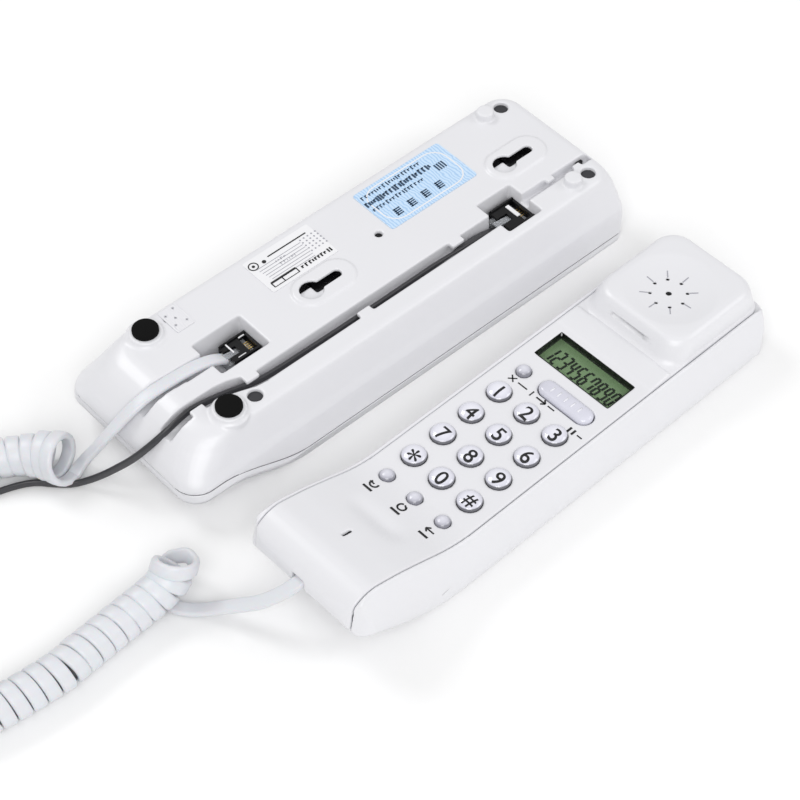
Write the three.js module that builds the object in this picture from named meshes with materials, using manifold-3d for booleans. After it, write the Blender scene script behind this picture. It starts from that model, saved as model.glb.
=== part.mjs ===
// Slimline wall phone: the base lies on its front beside the handset, which lies on its back.
// Millimetres, +Z up, +X from the cord end to the earpiece end, +Y from the handset to the base.
import * as THREE from 'three';
import { ConvexGeometry } from 'three/addons/geometries/ConvexGeometry.js';
import { mergeVertices } from 'three/addons/utils/BufferGeometryUtils.js';
import Module from 'manifold-3d';

const wasm = await Module();
wasm.setup();

// ---- driving dimensions ----
const WALL = 2.2;
const GAP = 0.3;
const CIRCLE = 20;

const BASE = {
  y: 39.3,          // centre line of the base in the frame
  end: 101.1,       // half length
  half: 35.3,       // half width at the rim
  backHalf: 28.5,   // half width of the flat back
  height: 30,       // back above the floor
  slopeStart: -84.5, // where the back falls away to the lower end
  rise: 11,         // how far the front lifts at the lower end
  seam: 3.4,        // height of the rim below the parting line
};
const HANDSET = {
  x: 3.3, y: -44.4, yaw: THREE.MathUtils.degToRad(1.6),
  mic: -101.8,      // mouthpiece end
  ear: 97.3,        // earpiece end
  top: 21,          // keypad face above the floor
  half: 28,         // widest half width
  coverHalf: 22.3,  // half width of the front cover
};
const KEY = { radius: 4.3, pitchX: 13.2, pitchY: 13, travel: 1.5, firstX: 0 };
const FUNCTION_KEY = { radius: 2.65, x: -51.8 };
const DELETE_KEY = { x: 12.5, y: 13.6 };
const ROCKER = { x: 12.9, y: -5.8, length: 24, width: 7 };
const LCD = { x0: 21.2, x1: 34.7, half: 17.1 };
const EAR = { x: 69.5, foot0: 47, top0: 53, top1: 91.5, topHalf: 17.6, height: 29.4, ring: 6.5 };
const MIC = { x: -81.6 };
const FOOT = { u: -74, v: 22.3, radius: 4.65, boss: 6.2, bossHeight: 1.3, height: 3.3 };
const PEG = { u: 84.2, v: 23, radius: 3.2, height: 3.3 };
const SCREWS = [[92.2, 22.8], [92.2, -22.8], [-63.4, 22.8], [-63.4, -22.8]];
const KEYHOLES = [-19.3, 72.3];
const KEYHOLE = { radius: 4.3, slot: 1.9, travel: 11.3, pad: 7, padHeight: 0.8 };
const PROBE_HOLE = { u: 15.9, v: 4.9, radius: 1.5 };
const POCKET = { floor: 18, lower: [-65.6, -45, -8, 8], upper: [51.2, 66.8, -25, -8] };
const CHANNEL = { floor: 24.5, width: 5.6, v: -17.5 };
const EAR_RECESS = { u0: 42.5, u1: 97, half: 24.5, depth: 9.8 };
const COIL_RADIUS = 6.9;
const CORD_RADIUS = 2.2;

// ---- solids ----
function solid(geometry) {
  const bare = geometry.index ? geometry.toNonIndexed() : geometry.clone();
  bare.deleteAttribute('normal');
  bare.deleteAttribute('uv');
  const merged = mergeVertices(bare, 1e-4);
  return new wasm.Manifold(new wasm.Mesh({
    numProp: 3,
    vertProperties: new Float32Array(merged.attributes.position.array),
    triVerts: new Uint32Array(merged.index.array),
  }));
}

function geometryOf(body) {
  const mesh = body.getMesh();
  const geometry = new THREE.BufferGeometry();
  geometry.setAttribute('position', new THREE.BufferAttribute(mesh.vertProperties, 3));
  geometry.setIndex(new THREE.BufferAttribute(mesh.triVerts, 1));
  return geometry;
}

const union = (bodies) => bodies.reduce((a, b) => a.add(b));
const cut = (body, tools) => tools.reduce((a, b) => a.subtract(b), body);

function shapeOf(points) {
  return new THREE.Shape(points.map(([a, b]) => new THREE.Vector2(a, b)));
}

function extrude(shape, from, to, matrix) {
  const geometry = new THREE.ExtrudeGeometry(shape, {
    depth: to - from, bevelEnabled: false, curveSegments: 5,
  });
  geometry.translate(0, 0, from);
  return solid(matrix ? geometry.applyMatrix4(matrix) : geometry);
}

const ALONG_X = new THREE.Matrix4().set(0, 0, 1, 0, 1, 0, 0, 0, 0, 1, 0, 0, 0, 0, 0, 1);
const ALONG_Y = new THREE.Matrix4().set(1, 0, 0, 0, 0, 0, -1, 0, 0, 1, 0, 0, 0, 0, 0, 1);

// An outline in (y, z) drawn out along X, in (x, z) along Y, or in (x, y) along Z.
const prismX = (points, x0, x1) => extrude(shapeOf(points), x0, x1, ALONG_X);
const prismY = (points, y0, y1) => extrude(shapeOf(points), -y1, -y0, ALONG_Y);
const prismZ = (shape, z0, z1) => extrude(shape, z0, z1);

function block(x0, x1, y0, y1, z0, z1) {
  const geometry = new THREE.BoxGeometry(x1 - x0, y1 - y0, z1 - z0);
  geometry.translate((x0 + x1) / 2, (y0 + y1) / 2, (z0 + z1) / 2);
  return solid(geometry);
}

function disc(x, y, radius, z0, z1, sides = CIRCLE) {
  const geometry = new THREE.CylinderGeometry(radius, radius, z1 - z0, sides);
  geometry.rotateX(Math.PI / 2);
  geometry.translate(x, y, (z0 + z1) / 2);
  return solid(geometry);
}

function turned(profile, x, y, sides = CIRCLE) {
  const points = profile.map(([r, z]) => new THREE.Vector2(r, z));
  const geometry = new THREE.LatheGeometry(points, sides);
  geometry.rotateX(Math.PI / 2);
  geometry.translate(x, y, 0);
  return solid(geometry);
}

function roundedRect(x0, x1, y0, y1, radius) {
  const shape = new THREE.Shape();
  const quarter = Math.PI / 2;
  shape.absarc(x1 - radius, y1 - radius, radius, 0, quarter);
  shape.absarc(x0 + radius, y1 - radius, radius, quarter, 2 * quarter);
  shape.absarc(x0 + radius, y0 + radius, radius, 2 * quarter, 3 * quarter);
  shape.absarc(x1 - radius, y0 + radius, radius, 3 * quarter, 4 * quarter);
  return shape;
}

// A frustum between two level outlines.
function frustum(lower, z0, upper, z1) {
  const ring = (shape, z) => shape.getPoints(4).map((p) => new THREE.Vector3(p.x, p.y, z));
  return solid(new ConvexGeometry([...ring(lower, z0), ...ring(upper, z1)]));
}

// A round bar along a smooth curve through the points.
function bar(points, radius, sides, steps) {
  const curve = new THREE.CatmullRomCurve3(points.map((p) => new THREE.Vector3(...p)));
  const shape = new THREE.Shape();
  for (let i = 0; i < sides; i += 1) {
    const angle = (2 * Math.PI * i) / sides;
    const method = i === 0 ? 'moveTo' : 'lineTo';
    shape[method](radius * Math.cos(angle), radius * Math.sin(angle));
  }
  return solid(new THREE.ExtrudeGeometry(shape, { steps, extrudePath: curve, bevelEnabled: false }));
}

// ---- scene ----
const phone = new THREE.Group();
const baseGroup = new THREE.Group();
baseGroup.position.set(0, BASE.y, 0);
const handsetGroup = new THREE.Group();
handsetGroup.position.set(HANDSET.x, HANDSET.y, 0);
handsetGroup.rotation.z = HANDSET.yaw;
phone.add(baseGroup, handsetGroup);

const FINISH = {
  white: { color: 0xe9e9ea, roughness: 0.35, metalness: 0 },
  black: { color: 0x101012, roughness: 0.45, metalness: 0 },
  rubber: { color: 0x0b0b0b, roughness: 0.8, metalness: 0 },
  clear: { color: 0xdfe1ea, roughness: 0.1, metalness: 0 },
  silver: { color: 0xb9b9c2, roughness: 0.3, metalness: 0.3 },
  paper: { color: 0xf4f4f4, roughness: 0.7, metalness: 0 },
  blue: { color: 0xc3d9ef, roughness: 0.6, metalness: 0 },
  green: { color: 0x6f8c63, roughness: 0.4, metalness: 0 },
  board: { color: 0x2f5b3a, roughness: 0.6, metalness: 0 },
  steel: { color: 0xa8a8a8, roughness: 0.3, metalness: 0.9 },
  grey: { color: 0x55565a, roughness: 0.5, metalness: 0 },
};

function place(group, name, body, finish) {
  const mesh = new THREE.Mesh(geometryOf(body), new THREE.MeshStandardMaterial(FINISH[finish]));
  mesh.name = name;
  group.add(mesh);
}

// ---- base ----
// The side view from the front face (on the floor) up over the back, drawn in by inset.
function baseFront(u) {
  const t = THREE.MathUtils.clamp((u + 50) / -38, 0, 1);
  return BASE.rise * t * t * (3 - 2 * t);
}

function baseSide(inset, lift) {
  const bottom = [];
  for (let u = BASE.end - inset; u > -50; u = -1000) bottom.push([u, lift]);
  for (let i = 0; i <= 8; i += 1) {
    const u = -50 - (38 * i) / 8;
    bottom.push([u, baseFront(u) + lift]);
  }
  const end = -BASE.end + inset;
  const top = BASE.height - inset;
  return [
    ...bottom,
    [end, baseFront(end) + lift],
    [end, 15.5 - inset * 0.4],
    [end + 0.9, 18.2 - inset * 0.6],
    [end + 3.4, 21.5 - inset * 0.8],
    [end + 7.6, 25.8 - inset],
    [BASE.slopeStart - 4, 28.6 - inset],
    [BASE.slopeStart, top],
    [BASE.end - 2 - inset, top],
    [BASE.end - 0.6 - inset, top - 0.8],
    [BASE.end - inset, top - 3],
  ];
}

function baseSection(inset) {
  const right = [
    [BASE.half - inset, -1],
    [BASE.half - inset, 12],
    [BASE.half - 0.9 - inset, 16.5],
    [BASE.half - 2.5 - inset, 19],
    [BASE.backHalf + 0.6 - inset, BASE.height - 1.2],
    [BASE.backHalf - 0.8 - inset, BASE.height + 0.01],
  ];
  return [...right, ...right.map(([v, z]) => [-v, z]).reverse()];
}

function baseBody(inset, lift) {
  const end = BASE.end + 1;
  const plan = roundedRect(-end + inset, end - inset, -BASE.half - 1 + inset, BASE.half + 1 - inset,
    8 - inset);
  const side = prismY(baseSide(inset, lift), -60, 60);
  return side.intersect(prismX(baseSection(inset), -120, 120)).intersect(prismZ(plan, -2, 40));
}

// Everything between the front face raised by low and by high.
function frontBand(low, high) {
  const curve = [[BASE.end + 5, 0]];
  for (let i = 0; i <= 8; i += 1) curve.push([-50 - (38 * i) / 8, baseFront(-50 - (38 * i) / 8)]);
  curve.push([-BASE.end - 5, BASE.rise]);
  const lower = curve.map(([u, z]) => [u, z + low]);
  const upper = curve.map(([u, z]) => [u, z + high]).reverse();
  return prismY([...lower, ...upper], -60, 60);
}

function keyhole(u) {
  const stem = block(u, u + KEYHOLE.travel, -KEYHOLE.slot, KEYHOLE.slot, 20, 40);
  return union([
    disc(u, 0, KEYHOLE.radius, 20, 40),
    stem,
    disc(u + KEYHOLE.travel, 0, KEYHOLE.slot, 20, 40, 12),
  ]);
}

function keyholePad(u) {
  const outer = roundedRect(u - KEYHOLE.pad, u + KEYHOLE.travel + KEYHOLE.pad,
    -KEYHOLE.pad, KEYHOLE.pad, KEYHOLE.pad - 0.01);
  return prismZ(outer, BASE.height - WALL, BASE.height + KEYHOLE.padHeight);
}

// The groove for the line cord, as straight runs [u0, v0, u1, v1] widened by margin.
const CHANNEL_RUNS = [
  [52, CHANNEL.v, -57, CHANNEL.v],
  [-56, CHANNEL.v, -71, -14],
  [-70, -14, -106, -12.6],
];

function channelRuns(margin, z0, z1) {
  return CHANNEL_RUNS.map(([u0, v0, u1, v1]) => {
    const length = Math.hypot(u1 - u0, v1 - v0);
    const geometry = new THREE.BoxGeometry(length + margin, CHANNEL.width + 2 * margin, z1 - z0);
    geometry.rotateZ(Math.atan2(v1 - v0, u1 - u0));
    geometry.translate((u0 + u1) / 2, (v0 + v1) / 2, (z0 + z1) / 2);
    return solid(geometry);
  });
}

function grooves(margin, z0) {
  const drop = CHANNEL.floor - z0;
  const lineRamp = [[53, 40], [53, 19 - drop], [38, CHANNEL.floor - drop], [38, 40]];
  const leadRamp = [[-64, 40], [-76, 40], [-76, CHANNEL.floor - drop], [-64, 19 - drop]];
  const half = CHANNEL.width / 2 + margin;
  return [
    ...channelRuns(margin, z0, 40),
    block(-110, -64, -3.4 - margin, 3.4 + margin, z0, 40),
    block(65, 110, -18.4 - margin, -14.8 + margin, z0 + 2, 40),
    prismY(lineRamp, CHANNEL.v - half, CHANNEL.v + half + 1),
    prismY(leadRamp, -3.4 - margin, 3.4 + margin),
  ];
}

function pocketBlocks(margin, z0) {
  return [POCKET.lower, POCKET.upper].map(([u0, u1, v0, v1]) => (
    block(u0 - margin, u1 + margin, v0 - margin, v1 + margin, z0, 40)));
}

function rearCover() {
  const shell = baseBody(0, 0).subtract(frontBand(-5, BASE.seam + GAP));
  const cavity = baseBody(WALL, -8);
  const outer = baseBody(0, 0).subtract(frontBand(-5, BASE.seam + GAP));
  const inside = [
    ...grooves(1.4, CHANNEL.floor - 1.5),
    ...pocketBlocks(1.4, POCKET.floor - 1.5),
    ...SCREWS.map(([u, v]) => disc(u, v, 4.1, 16, 40, 12)),
  ];
  const raised = [
    ...KEYHOLES.map(keyholePad),
    ...[1, -1].flatMap((side) => [
      disc(FOOT.u, side * FOOT.v, FOOT.boss, BASE.height - WALL, BASE.height + FOOT.bossHeight),
      disc(PEG.u, side * PEG.v, PEG.radius, BASE.height - WALL, BASE.height + PEG.height, 14),
    ]),
  ];
  const body = union([cut(shell, [cavity]), ...inside.map((b) => b.intersect(outer)), ...raised]);
  const screwHoles = SCREWS.flatMap(([u, v]) => [
    disc(u, v, 2.7, 19, 40, 14),
    disc(u, v, 1.7, 10, 20, 10),
  ]);
  return cut(body, [
    ...grooves(0, CHANNEL.floor),
    ...pocketBlocks(0, POCKET.floor),
    ...KEYHOLES.map(keyhole),
    ...screwHoles,
    disc(PROBE_HOLE.u, PROBE_HOLE.v, PROBE_HOLE.radius, 20, 40, 10),
  ]);
}

function frontHousing() {
  const r = EAR_RECESS;
  const plate = baseBody(0, 0).intersect(frontBand(-5, BASE.seam));
  const hollow = baseBody(WALL, 0).intersect(frontBand(WALL, 20));
  const tub = block(r.u0 - 2, r.u1 + 2, -r.half - 2, r.half + 2, 0.5, r.depth + 2);
  const recess = frustum(
    roundedRect(r.u0, r.u1, -r.half, r.half, 6), -1,
    roundedRect(r.u0 + 1, r.u1 - 1, -r.half + 1, r.half - 1, 6), r.depth);
  const tubBody = tub.intersect(baseBody(WALL + 0.4, -2));
  const posts = SCREWS.map(([u, v]) => disc(u, v, 3.4, baseFront(u) + 1, 15.7, 12));
  const hookTab = block(r.u0 - 0.5, r.u0 + 5, -6, 6, 3, 5);
  const plungerSlot = block(PLUNGER.u - 5.3, PLUNGER.u + 5.3, -3.3, 3.3, r.depth - 2, r.depth + 4);
  const bores = SCREWS.map(([u, v]) => disc(u, v, 1.6, baseFront(u) + 3, 17, 10));
  const body = union([cut(plate, [hollow]), tubBody, ...posts]);
  return cut(cut(body, [recess]).add(hookTab), [plungerSlot, ...bores]);
}

const PLUNGER = { u: 84 };

function hookPlunger() {
  const { u } = PLUNGER;
  const stem = block(u - 5, u + 5, -3, 3, 3.6, 13);
  return stem.add(block(u - 6.6, u + 6.6, -4.4, 4.4, EAR_RECESS.depth + 2 + GAP, 13.6));
}

// A jack body with its mouth towards -X; its plug slides in from there.
function jack(u0, u1, v, half) {
  const body = block(u0, u1, v - half, v + half, POCKET.floor + GAP, 25.2);
  return body.subtract(block(u0 - 1, u1 - 1.4, v - half + 1, v + half - 1, 19.4, 24));
}

function jackPlug(u0, u1, v, half) {
  return block(u0, u1, v - half + 1 + GAP, v + half - 1 - GAP, 19.7, 23.6);
}

function screw(x, y, head, length) {
  return turned([[0, head - length], [1.35, head - length], [1.35, head - 1.6],
    [2.4, head - 1.6], [2.4, head], [0, head]], x, y, 12);
}

function plateOn(u0, u1, v0, v1, thickness) {
  return block(u0, u1, v0, v1, BASE.height + 0.05, BASE.height + 0.05 + thickness);
}

place(baseGroup, 'base_rear_cover', rearCover(), 'white');
place(baseGroup, 'base_front_housing', frontHousing(), 'white');
[['left', 1], ['right', -1]].forEach(([side, sign]) => {
  const pad = disc(FOOT.u, sign * FOOT.v, FOOT.radius, BASE.height + FOOT.bossHeight + 0.05,
    BASE.height + FOOT.height);
  place(baseGroup, `rubber_foot_${side}`, pad, 'rubber');
});
SCREWS.forEach(([u, v], i) => {
  place(baseGroup, `base_screw_${i + 1}`, screw(u, v, 21, 12.5), 'steel');
});
place(baseGroup, 'rating_label', plateOn(-29.6, -0.2, 7.9, 25.3, 0.25), 'paper');
place(baseGroup, 'approval_label', plateOn(20.7, 61.8, 2.9, 24.6, 0.25), 'blue');
place(baseGroup, 'seal_label', plateOn(-65.6, -57.8, 15.5, 26.9, 0.25), 'silver');
place(baseGroup, 'handset_jack', jack(-57, -45.6, 0, 4.9), 'black');
place(baseGroup, 'line_jack', jack(55, 66.4, -16.4, 6.1), 'black');
place(baseGroup, 'handset_cord_plug', jackPlug(-58.6, -47.4, 0, 4.9), 'clear');
place(baseGroup, 'line_plug', jackPlug(53.2, 64.6, -16.4, 6.1), 'clear');
place(baseGroup, 'base_board', block(-46, 36, -24, 24, 8.2, 9.8), 'board');
place(baseGroup, 'ringer_buzzer', disc(-8, 8, 11, 10.1, 15.5, 16), 'black');
place(baseGroup, 'hook_plunger', hookPlunger(), 'white');
place(baseGroup, 'hook_switch', block(75, 93, -5, 5, 18.2, 25.5), 'black');

// ---- handset ----
// Height of the front face along the handset, without the earpiece block.
const FACE = [
  [HANDSET.ear, 15], [96.2, 18.6], [93, 20.3], [60, 21], [-46, 21], [-52, 21.6], [-58, 22.9],
  [-66, 25.7], [-74, 28.6], [-81.6, 30.9], [-87, 32.4], [-92, 32.9], [-96.5, 31.8],
  [-99.8, 29], [HANDSET.mic, 25], [HANDSET.mic, 19.5],
];
const UNDERSIDE = [
  [HANDSET.mic, 19.5], [-98.4, 17.2], [-92, 12.6], [-85.5, 8.6], [-79, 5], [-72.3, 2.2],
  [-65.5, 0.6], [-59, 0], [91, 0], [95, 1.4], [97, 5], [HANDSET.ear, 9],
];

function handsetSection(inset) {
  const right = [
    [22.5 - inset, 0 - 0.01], [26.3 - inset, 1.2], [HANDSET.half - inset, 4.6],
    [HANDSET.half - 0.6 - inset, 9.6], [24.2 - inset, 19.8], [23.4 - inset, 26], [23.4 - inset, 36],
  ];
  return [...right, ...right.map(([y, z]) => [-y, z]).reverse()];
}

function handsetPlan(inset) {
  return roundedRect(HANDSET.mic + inset, HANDSET.ear - inset, -HANDSET.half + inset,
    HANDSET.half - inset, 9 - inset);
}

// The side view with the front face lowered and the underside lifted by inset.
function handsetSide(lower, lift) {
  const x = (value, inset) => THREE.MathUtils.clamp(value, HANDSET.mic + inset, HANDSET.ear - inset);
  return [
    ...UNDERSIDE.map(([px, z]) => [x(px, lift), z + lift]),
    ...FACE.slice(1, -1).map(([px, z]) => [x(px, lower), z - lower]),
  ];
}

function rearShell() {
  const outer = prismY(handsetSide(0, 0), -40, 40)
    .intersect(prismX(handsetSection(0), -120, 120))
    .intersect(prismZ(handsetPlan(0), -2, 40));
  const cavity = prismY([
    ...UNDERSIDE.map(([x, z]) => [THREE.MathUtils.clamp(x, HANDSET.mic + 2.6, HANDSET.ear - WALL), z + WALL]),
    [HANDSET.ear - WALL, 45], [HANDSET.mic + 2.6, 45],
  ], -40, 40)
    .intersect(prismX(handsetSection(WALL), -120, 120))
    .intersect(prismZ(handsetPlan(WALL), -2, 50));
  const seat = prismY([
    [HANDSET.ear - 1.6, 50], [HANDSET.ear - 1.6, 16],
    ...FACE.slice(2, -1).map(([x, z]) => [x + (x < -99 ? 2.7 : 0), z - WALL - GAP]),
    [HANDSET.mic + 2.7, 19.2], [HANDSET.mic - 2, 19.2], [HANDSET.mic - 2, 50],
  ], -HANDSET.coverHalf - GAP, HANDSET.coverHalf + GAP);
  const bosses = HANDSET_SCREWS.map((x) => disc(x, 0, 3.6, 1, 10.5, 12).subtract(
    disc(x, 0, 2, -1, 4.4, 12)));
  const bores = HANDSET_SCREWS.flatMap((x) => [disc(x, 0, 2.5, -1, 4.4, 12), disc(x, 0, 1.6, 0, 30, 10)]);
  return cut(union([cut(outer, [cavity, seat]), ...bosses]), bores);
}

const HANDSET_SCREWS = [84, -34];

function earBlock(inset) {
  const e = EAR;
  return frustum(
    roundedRect(e.foot0 + inset, HANDSET.ear - 2 - inset, -21.8 + inset, 21.8 - inset, 7), 19,
    roundedRect(e.top0 + inset, e.top1 - inset, -e.topHalf + inset, e.topHalf - inset, 6),
    e.height - inset);
}

function frontCover() {
  const band = prismY([
    ...FACE,
    [HANDSET.mic + 2.4, 19.5],
    ...FACE.slice(1, -1).reverse().map(([x, z]) => [x + (x < -99 ? 2.4 : 0), z - WALL]),
    [HANDSET.ear, 14],
  ], -HANDSET.coverHalf, HANDSET.coverHalf);
  const plan = prismZ(roundedRect(HANDSET.mic, HANDSET.ear - 2, -HANDSET.coverHalf,
    HANDSET.coverHalf, 7), 10, 40);
  const sheet = band.intersect(plan);
  const clear = 0.35;
  const keyHoles = keyCentres().map(({ x, y, radius }) => disc(x, y, radius + clear, 15, 30, 16));
  const rocker = prismZ(rockerOutline(clear), 15, 30);
  const window = block(LCD.x0, LCD.x1, -LCD.half, LCD.half, 15, 30);
  const dish = turned([[0, EAR.height - 1.6], [8, EAR.height - 1.3], [14.5, EAR.height + 0.01],
    [14.5, 50], [0, 50]], EAR.x, 0, 24);
  const soundHoles = [disc(EAR.x, 0, 0.8, 20, 40, 8)];
  for (let i = 0; i < 8; i += 1) {
    const angle = ((i + 1) * Math.PI) / 4;
    soundHoles.push(disc(EAR.x + EAR.ring * Math.cos(angle), EAR.ring * Math.sin(angle), 0.6, 20, 40, 6));
  }
  const hookSlot = block(EAR.foot0 + 2, EAR.foot0 + 6, -7.3, 7.3, 24.3, 26.2);
  const hollow = earBlock(WALL).subtract(block(40, 100, -30, 30, 0, 18.5));
  const opening = block(EAR.foot0 + 3, HANDSET.ear - 5, -18, 18, 17, 20.5);
  const cordNotch = block(HANDSET.mic - 2, HANDSET.mic + 4, -0.4, 6, 15, 26);
  const micSlit = block(MIC.x - 2.1, MIC.x + 2.1, -0.45, 0.45, 25, 40);
  return cut(sheet.add(earBlock(0)), [hollow, opening, dish, ...soundHoles, hookSlot, ...keyHoles,
    rocker, window, cordNotch, micSlit]);
}

function keyCentres() {
  const centres = [];
  for (let row = 0; row < 4; row += 1) {
    for (let column = 0; column < 3; column += 1) {
      centres.push({
        x: KEY.firstX - row * KEY.pitchX, y: (1 - column) * KEY.pitchY, radius: KEY.radius,
      });
    }
  }
  for (let column = 0; column < 3; column += 1) {
    centres.push({ x: FUNCTION_KEY.x, y: (1 - column) * KEY.pitchY, radius: FUNCTION_KEY.radius });
  }
  centres.push({ x: DELETE_KEY.x, y: DELETE_KEY.y, radius: FUNCTION_KEY.radius });
  return centres;
}

function rockerOutline(margin) {
  const { x, y, length, width } = ROCKER;
  return roundedRect(x - width / 2 - margin, x + width / 2 + margin, y - length / 2 - margin,
    y + length / 2 + margin, width / 2 + margin - 0.01);
}

function domeKey(x, y, radius, rise) {
  const top = HANDSET.top;
  return turned([
    [0, top - 3.4], [radius, top - 3.4], [radius, top + 0.2], [radius * 0.82, top + rise * 0.6],
    [radius * 0.45, top + rise * 0.93], [0, top + rise],
  ], x, y, 16);
}

function rockerKey() {
  const lower = rockerOutline(0);
  const upper = rockerOutline(-1);
  const base = prismZ(lower, HANDSET.top - 3, HANDSET.top + 0.2);
  return base.add(frustum(lower, HANDSET.top, upper, HANDSET.top + 1.3));
}

place(handsetGroup, 'handset_rear_shell', rearShell(), 'white');
place(handsetGroup, 'handset_front_cover', frontCover(), 'white');
const KEY_NAMES = ['1', '2', '3', '4', '5', '6', '7', '8', '9', 'star', '0', 'hash'].map((k) => `key_${k}`);
const SMALL_NAMES = ['flash_key', 'redial_key', 'back_key', 'delete_key'];
keyCentres().forEach(({ x, y, radius }, i) => {
  const large = i < KEY_NAMES.length;
  const name = large ? KEY_NAMES[i] : SMALL_NAMES[i - KEY_NAMES.length];
  place(handsetGroup, name, domeKey(x, y, radius, large ? 1.9 : 1.5), large ? 'clear' : 'silver');
});
place(handsetGroup, 'rocker_key', rockerKey(), 'clear');
const RUBBER_TOP = HANDSET.top - 3.4 - KEY.travel - GAP;
place(handsetGroup, 'keypad_mat', block(-57, 18, -19.5, 19.5, RUBBER_TOP - 1.8, RUBBER_TOP), 'paper');
place(handsetGroup, 'main_board', block(-58, 44, -19.5, 19.5, 11.3, 12.9), 'board');
place(handsetGroup, 'lcd_window', block(LCD.x0 + 0.15, LCD.x1 - 0.15, -LCD.half + 0.15,
  LCD.half - 0.15, 19, 19.8), 'clear');
place(handsetGroup, 'lcd_panel', block(LCD.x0 - 1, LCD.x1 + 1, -LCD.half - 1, LCD.half + 1, 15.9, 18.4),
  'green');
place(handsetGroup, 'receiver_capsule', disc(EAR.x, 0, 13.5, 16.5, 26.2, 20), 'black');
place(handsetGroup, 'microphone_capsule', disc(MIC.x, 0, 4.6, 20.5, 26.4, 14), 'steel');
place(handsetGroup, 'cord_clamp', block(-96.6, -92.6, -3, 9, 19.8, 26), 'black');
HANDSET_SCREWS.forEach((x, i) => {
  const body = turned([[0, 2.6], [2.3, 2.6], [2.3, 4.2], [1.35, 4.2], [1.35, 10.8], [0, 10.8]],
    x, 0, 12);
  place(handsetGroup, `handset_screw_${i + 1}`, body, 'steel');
});

// ---- cords ----
const HANDSET_LEAD = [
  [-59.2, 39.5, 21.7], [-62.5, 39.5, 22.6], [-66, 39.6, 24.4], [-71, 39.8, 26.8],
  [-76, 39.7, 27.6], [-82, 39.8, 28.2], [-89, 40, 28.2], [-97.9, 41.2, 26.3],
  [-105.2, 44.2, 20.5], [-110.3, 48.6, 12.2], [-113.8, 52.4, 6.6], [-116.5, 55.2, 5.4],
];
const COIL_ROUTE = [
  [-117.2, 56, 7.6], [-124.5, 62.8, 7.4], [-133, 70, 7.1], [-145, 78.4, 7], [-160, 86, 7],
  [-177, 91.4, 7], [-195, 93.4, 7], [-213, 91.4, 7], [-229, 84, 7], [-241, 71, 7],
  [-247.5, 54, 7], [-248, 36, 7], [-242, 18.5, 7], [-230, 4, 7], [-214, -5.6, 7],
  [-196, -10.8, 7], [-172, -13, 7], [-155.5, -11, 7], [-138, -9, 7], [-121.5, -7, 7.1],
];
const HANDSET_TAIL = [
  [-119.9, -10.2, 4.6], [-118.9, -10.7, 4.4], [-117.9, -12.5, 4], [-117.2, -16, 3.7],
  [-117, -21, 4.2],
  [-114.9, -27.2, 6.4], [-110.6, -33.4, 10.6], [-106.2, -38.5, 15.5], [-102.2, -42.2, 19.8],
  [-99, -44.1, 22.8], [-94.4, -44.7, 23.7],
];
const LINE_ROUTE = [
  [52.6, 22.9, 21.7], [49.5, 22.6, 22.6], [45, 22.1, 24.6], [39, 21.8, 26.8], [32, 21.8, 27.2],
  [10, 21.8, 27.2], [-15, 21.8, 27.2], [-40, 21.8, 27.2], [-54, 21.9, 27.2], [-62.5, 23.4, 27.2],
  [-69, 25.2, 27.2], [-76, 25.5, 28], [-84, 25.9, 29], [-92.6, 26.2, 28.4], [-101.2, 27.4, 24],
  [-105.6, 32.1, 17], [-108.6, 35.8, 11.6], [-112.6, 41.3, 5], [-117.8, 45.1, 2.7],
  [-123.5, 48.8, 2.5], [-128.8, 55, 2.5], [-135, 58.6, 2.5], [-146, 62.4, 2.5],
  [-158, 67.4, 2.5], [-172, 73.2, 2.5], [-182.7, 77.4, 2.5], [-191.4, 79.8, 2.5],
];
const RING = { x: -201, y: 44, inner: 12.6, outer: 34.6, height: 5.3 };
const END_PLUG = { x: -214.5, y: 23.1, length: 11.7, width: 9.6, height: 6.6, turn: -48 };

function endPlug() {
  const p = END_PLUG;
  const geometry = new THREE.BoxGeometry(p.length, p.width, p.height);
  geometry.rotateZ(THREE.MathUtils.degToRad(p.turn));
  geometry.translate(p.x, p.y, RING.height + GAP + p.height / 2);
  return solid(geometry);
}

place(phone, 'handset_cord_lead', bar(HANDSET_LEAD, CORD_RADIUS, 8, 26), 'paper');
place(phone, 'handset_cord_coil', bar(COIL_ROUTE, COIL_RADIUS, 12, 64), 'paper');
place(phone, 'handset_cord_tail', bar(HANDSET_TAIL, CORD_RADIUS, 8, 14), 'paper');
place(phone, 'line_cord', bar(LINE_ROUTE, CORD_RADIUS, 8, 64), 'grey');
place(phone, 'line_cord_coil', turned([[RING.inner, GAP], [RING.outer, GAP],
  [RING.outer, RING.height], [RING.inner, RING.height], [RING.inner, GAP]], RING.x, RING.y, 24), 'grey');
place(phone, 'line_end_plug', endPlug(), 'clear');

export default phone;
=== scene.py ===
"""Slimline wall phone: the base lies face down beside its handset, with a curly cord and a line cord."""
import math
from math import cos, hypot, pi, radians, sin, sqrt

import bmesh
import bpy
import numpy as np
from mathutils import Matrix, Vector


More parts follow.
